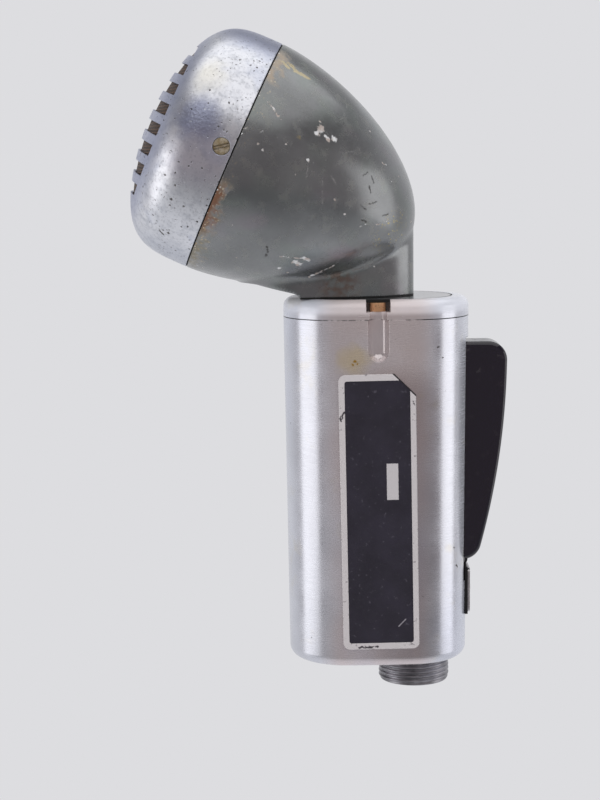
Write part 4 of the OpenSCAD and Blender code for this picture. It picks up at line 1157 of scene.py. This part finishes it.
class MIC_OT_lever(bpy.types.Operator):
    """Builds the enamelled talk lever and dresses its bracket, pivot, spring and screw"""

    bl_idname = "mic.lever"
    bl_label = "Talk lever"

    def execute(self, context):
        sheet, half, soft = 0.0012, node_size("talk_lever").y / 2, 0.0014
        turns = np.linspace(0, math.pi / 2, 8)
        side = [(soft * (1 - math.sin(a)), soft * (1 - math.cos(a)) - half) for a in turns]
        side += [(inset, -y) for inset, y in side[::-1]]
        lever = skin("talk_lever_enamelled", upright_rows(side))
        hollow = [(sheet, y) for y in (sheet - half, half - sheet)]
        cut(lever, skin("hollow", upright_rows(hollow)))
        near, wide = LEVER_BOX[1].x - LEVER_PROUD - LEVER_TAIL, half - sheet
        back, front = near - 0.008, near + 0.003
        mouth = [(back, -wide), (front, -wide), (front, wide), (back, wide)]
        cut(lever, prism("mouth", mouth, PIVOT.z - 0.008, LEVER_TOP - sheet))
        part_edges(lever, 30)
        even_normals(lever)
        dress(lever, lever_enamel(tuple(context.scene.mic_finish.lever)))
        on_body(lever, "lever", "lever_black", "talk_lever")
        enamel = plain_finish("bracket_enamel", (16, 15, 17), 0.35, 0.0, 0.0005, 0.3)
        dress_nodes(enamel, "lever_bracket")
        nickel = plain_finish("cover_nickel", (196, 194, 196), 0.3, 1.0, 0.0005, 0.2)
        dress_nodes(nickel, "bracket_cover")
        steel = plain_finish("zinc_steel", (150, 150, 150), 0.35, 1.0, 0.0004, 0.2)
        screws = ("bracket_screw", "neck_screws", "switch_screws")
        dress_nodes(steel, "lever_pivot", "lever_spring", *screws)
        return {"FINISHED"}


def lever_enamel(color):
    """Gloss black enamel, scuffed where the hand takes hold."""
    finish = Finish("lever_black_enamel", color, 0.12, rounding=0.0002)
    finish.shader.inputs["IOR"].default_value = 1.6
    scuff, fine = finish.noise(0.0016, 5, (1.6, 1, 1)), finish.noise(0.0006, 3)
    upper = finish.band(finish.axis("Z"), 0.068, 0.09)
    rubbed = finish.times(finish.band(scuff, 0.56, 0.7), finish.blend(upper, 0.25, 1.0))
    finish.tint((84, 76, 80), rubbed, 0.22)
    # Pale worn edges, made paler so that they also stand in as a painted highlight along the
    # rounded edges.
    edge = finish.times(finish.worn_edges(0.0006, 0.15, 0.5), finish.band(scuff, 0.45, 0.58), 0.8)
    finish.tint((150, 146, 152), edge)
    finish.rough = finish.plus(finish.band(fine, 0.3, 0.7, 0.1, 0.15), finish.times(rubbed, 0.25))
    finish.bump(finish.noise(0.004, 2), 0.00006, 0.15)
    finish.bump(fine, 0.00001, 0.3)
    return finish.done()


# Connector


class MIC_OT_connector(bpy.types.Operator):
    """Builds the threaded connector and dresses its insert, contacts and nut"""

    bl_idname = "mic.connector"
    bl_label = "Connector"

    def execute(self, context):
        low, high = SOCKET
        middle, radius = node_middle("connector_shell"), node_size("connector_shell").y / 2
        bore, stem, socket, wall, chamfer = 0.0087, 0.0085, 0.006, 0.0015, 0.0003
        pitch, depth, steps = 0.0013, 0.0005, 96
        angles = np.arange(steps) * math.tau / steps
        round_x, round_y = np.cos(angles), np.sin(angles)
        profile = [(stem - wall, high.z), (stem - wall, low.z + socket), (bore, low.z + socket)]
        profile += [(bore, low.z + chamfer), (bore + chamfer, low.z), (radius - depth, low.z)]
        rows = turned(profile, steps)
        for z in np.arange(low.z + 0.0002, -0.0002, pitch / 8):
            turn = (z / pitch - angles / math.tau) % 1
            crest = np.clip(1.35 - np.abs(turn - 0.5) * 3.4, 0, 1)
            ease = min(1, (z - low.z) / 0.0008, (-0.0001 - z) / 0.0006)
            r = radius - depth + depth * crest * max(0, ease)
            rows.append(np.column_stack([r * round_x, r * round_y, np.full(steps, z)]))
        rows += turned([(radius - depth, -0.00005), (stem, 0.0), (stem, high.z)], steps)
        shell = skin("connector_threaded", [*rows, rows[0]], 40, (False, False))
        shell.data.transform(Matrix.Translation((middle.x, middle.y, 0)))
        plating = (148, 147, 152), 0.34, 1.0, 0.0005, 0.35, 0.00004
        dress(shell, plain_finish("connector_plating", *plating))
        on_body(shell, "grip", "connector_metal", "connector_shell")
        dress_nodes(plain_finish("insert_moulding", (26, 26, 26), 0.5), "connector_insert")
        brass = plain_finish("dull_brass", (178, 152, 100), 0.4, 1.0, 0.0004, 0.2)
        terminals = ("connector_contacts", "capsule_terminals", "switch_terminals")
        dress_nodes(brass, "connector_nut", "drive_pin", *terminals)
        return {"FINISHED"}


# Insides


INSIDE_FINISHES = (
    ("case_enamel", (66, 66, 70), 0.5, 0.0, ("capsule_case",)),
    ("punched_aluminium", (150, 150, 152), 0.35, 1.0, ("capsule_cover", "diaphragm")),
    ("ground_iron", (96, 96, 100), 0.45, 1.0, ("magnets", "pole_pieces", "armature")),
    ("laminated_fibre", (124, 82, 52), 0.65, 0.0, ("coil_bobbin",)),
    ("enamelled_copper", (150, 84, 50), 0.35, 0.8, ("coil_winding",)),
    ("capsule_rubber", (26, 25, 25), 0.8, 0.0, ("capsule_cushion",)),
    ("switch_moulding", (52, 34, 26), 0.35, 0.0, ("switch_case",)),
    ("plunger_nylon", (212, 204, 182), 0.45, 0.0, ("switch_plunger",)),
    ("lead_jacket", (124, 28, 24), 0.5, 0.0, ("lead_wires",)),
)


class MIC_OT_insides(bpy.types.Operator):
    """Dresses the capsule, the switch and the leads"""

    bl_idname = "mic.insides"
    bl_label = "Insides"

    def execute(self, context):
        for name, screen, rough, metal, nodes in INSIDE_FINISHES:
            dress_nodes(plain_finish(name, screen, rough, metal), *nodes)
        return {"FINISHED"}


# Stage


def area_lamp(name, place, aim, size, glow):
    """A softbox whose face shines at this level, where 1 is white."""
    lamp = bpy.data.lights.new(name, "AREA")
    lamp.shape, lamp.size, lamp.size_y = "RECTANGLE", size[0], size[1]
    lamp.energy = glow * math.pi * size[0] * size[1]
    made = bpy.data.objects.new(name, lamp)
    made.location = place
    made.rotation_euler = (Vector(aim) - Vector(place)).to_track_quat("-Z", "Y").to_euler()
    bpy.context.scene.collection.objects.link(made)


ROOM_COLOR = (0.28, 0.25, 0.256)


def backdrop_world(color):
    """The backdrop's own colour to the camera, and a plain room to everything else.

    The room that shiny surfaces show is dim before the microphone and above it.
    """
    world = bpy.data.worlds.new("studio")
    world.use_nodes = True
    world.node_tree.nodes.clear()
    studio = Nodes(world.node_tree, "Generated")
    room = studio.mix(studio.band(studio.axis("Y"), -0.35, 0.8), ROOM_COLOR, color)
    level = studio.band(studio.axis("Z"), 0.25, 0.6, 1.0, 0.5)
    shown = studio.node("Background", {"Color": room, "Strength": level}).outputs[0]
    lit = studio.node("Background", {"Color": color, "Strength": 0.95}).outputs[0]
    seen = studio.node("Background", {"Color": color}).outputs[0]
    ray = studio.node("LightPath").outputs
    shiny = studio.most(ray["Is Glossy Ray"], ray["Is Transmission Ray"])
    around = studio.node("MixShader", {0: shiny, 1: lit, 2: shown}).outputs[0]
    whole = studio.node("MixShader", {0: ray["Is Camera Ray"], 1: around, 2: seen}).outputs[0]
    studio.node("OutputWorld", {"Surface": whole})
    bpy.context.scene.world = world


def floor_material(color):
    """Pale floor that keeps a shadow near the object and runs into the backdrop further out."""
    finish = Finish("floor_paper", color, 0.9, rounding=0)
    ray = finish.node("LightPath").outputs
    seen = finish.most(ray["Is Camera Ray"], ray["Is Glossy Ray"], ray["Is Transmission Ray"])
    away = finish.band(finish.measure("LENGTH", finish.place), 0.2, 0.42, 0.8, 1.0)
    # The floor glows in the backdrop's colour. In what shiny surfaces show, it glows dimmer before
    # the microphone.
    ahead = finish.band(finish.axis("Y"), -0.65, 0.05, 0.28, 1.0)
    level = finish.blend(ray["Is Camera Ray"], ahead, 1.0)
    glow = finish.node("Emission", {"Color": color, "Strength": level}).outputs[0]
    parts = {0: finish.times(seen, away), 1: finish.shader.outputs[0], 2: glow}
    mixed = finish.node("MixShader", parts).outputs[0]
    finish.put(finish.nodes["Material Output"].inputs["Surface"], mixed)
    return finish.done()


FLOOR_HALF = 0.85
# Softboxes as (place, aim, width and height)
LEFT_SOFTBOX = (-0.775, -0.24, 0.03), (0, -0.24, 0.03), (0.62, 0.62)
RIGHT_SOFTBOX = (0.8, -0.14, 0.05), (0, -0.14, 0.05), (0.46, 0.64)
TOP_SOFTBOX = (0.05, -0.3, 0.85), (0.05, -0.3, 0.1), (1.4, 1.6)
CAMERA_PLACE, CAMERA_TIP, CAMERA_ROLL = (-0.0121, -0.5145, 0.1477), 82.0, -0.65


class MIC_OT_stage(bpy.types.Operator):
    """Sets out the floor, the lamps, the backdrop and the camera"""

    bl_idname = "mic.stage"
    bl_label = "Stage"

    def execute(self, context):
        stage = context.scene.mic_stage
        color = tuple(stage.backdrop)
        corners = [
            (x * FLOOR_HALF, y * FLOOR_HALF, 0) for x, y in ((-1, -1), (1, -1), (1, 1), (-1, 1))
        ]
        floor = mesh_object("floor", corners, [(0, 1, 2, 3)])
        floor.location.z = -stage.floor_drop
        dress(floor, floor_material(color))
        backdrop_world(color)
        area_lamp("left softbox", *LEFT_SOFTBOX, stage.side_glow)
        area_lamp("right softbox", *RIGHT_SOFTBOX, stage.side_glow)
        area_lamp("top softbox", *TOP_SOFTBOX, stage.top_glow)
        camera = bpy.data.cameras.new("camera")
        camera.lens, camera.sensor_width = 80.64, 36
        seen = bpy.data.objects.new("camera", camera)
        seen.location = CAMERA_PLACE
        tip = Matrix.Rotation(math.radians(CAMERA_TIP), 4, "X")
        seen.rotation_euler = (tip @ Matrix.Rotation(math.radians(CAMERA_ROLL), 4, "Z")).to_euler()
        context.scene.collection.objects.link(seen)
        context.scene.camera = seen
        context.scene.view_settings.view_transform = "Standard"
        return {"FINISHED"}


class MIC_PT_panel(bpy.types.Panel):
    """Lists the microphone's sizes and the steps that build it"""

    bl_idname = "MIC_PT_panel"
    bl_label = "Microphone"
    bl_space_type = "VIEW_3D"
    bl_region_type = "UI"
    bl_category = "Microphone"

    def draw(self, context):
        for group in (context.scene.mic_head, context.scene.mic_finish, context.scene.mic_stage):
            for name in group.bl_rna.properties.keys():
                if name not in ("rna_type", "name"):
                    self.layout.prop(group, name)
        for step in STEPS:
            self.layout.operator(step.bl_idname)


STEPS = (
    MIC_OT_bell, MIC_OT_grille, MIC_OT_grip, MIC_OT_plate,
    MIC_OT_lever, MIC_OT_connector, MIC_OT_insides, MIC_OT_stage,
)
CLASSES = (HeadSettings, FinishSettings, StageSettings, *STEPS, MIC_PT_panel)


def register():
    for kind in CLASSES:
        bpy.utils.register_class(kind)
    bpy.types.Scene.mic_head = PointerProperty(type=HeadSettings)
    bpy.types.Scene.mic_finish = PointerProperty(type=FinishSettings)
    bpy.types.Scene.mic_stage = PointerProperty(type=StageSettings)


def unregister():
    del bpy.types.Scene.mic_stage
    del bpy.types.Scene.mic_finish
    del bpy.types.Scene.mic_head
    for kind in reversed(CLASSES):
        bpy.utils.unregister_class(kind)


def main():
    register()
    for step in STEPS:
        group, name = step.bl_idname.split(".")
        getattr(getattr(bpy.ops, group), name)()


if __name__ == "__main__":
    main()
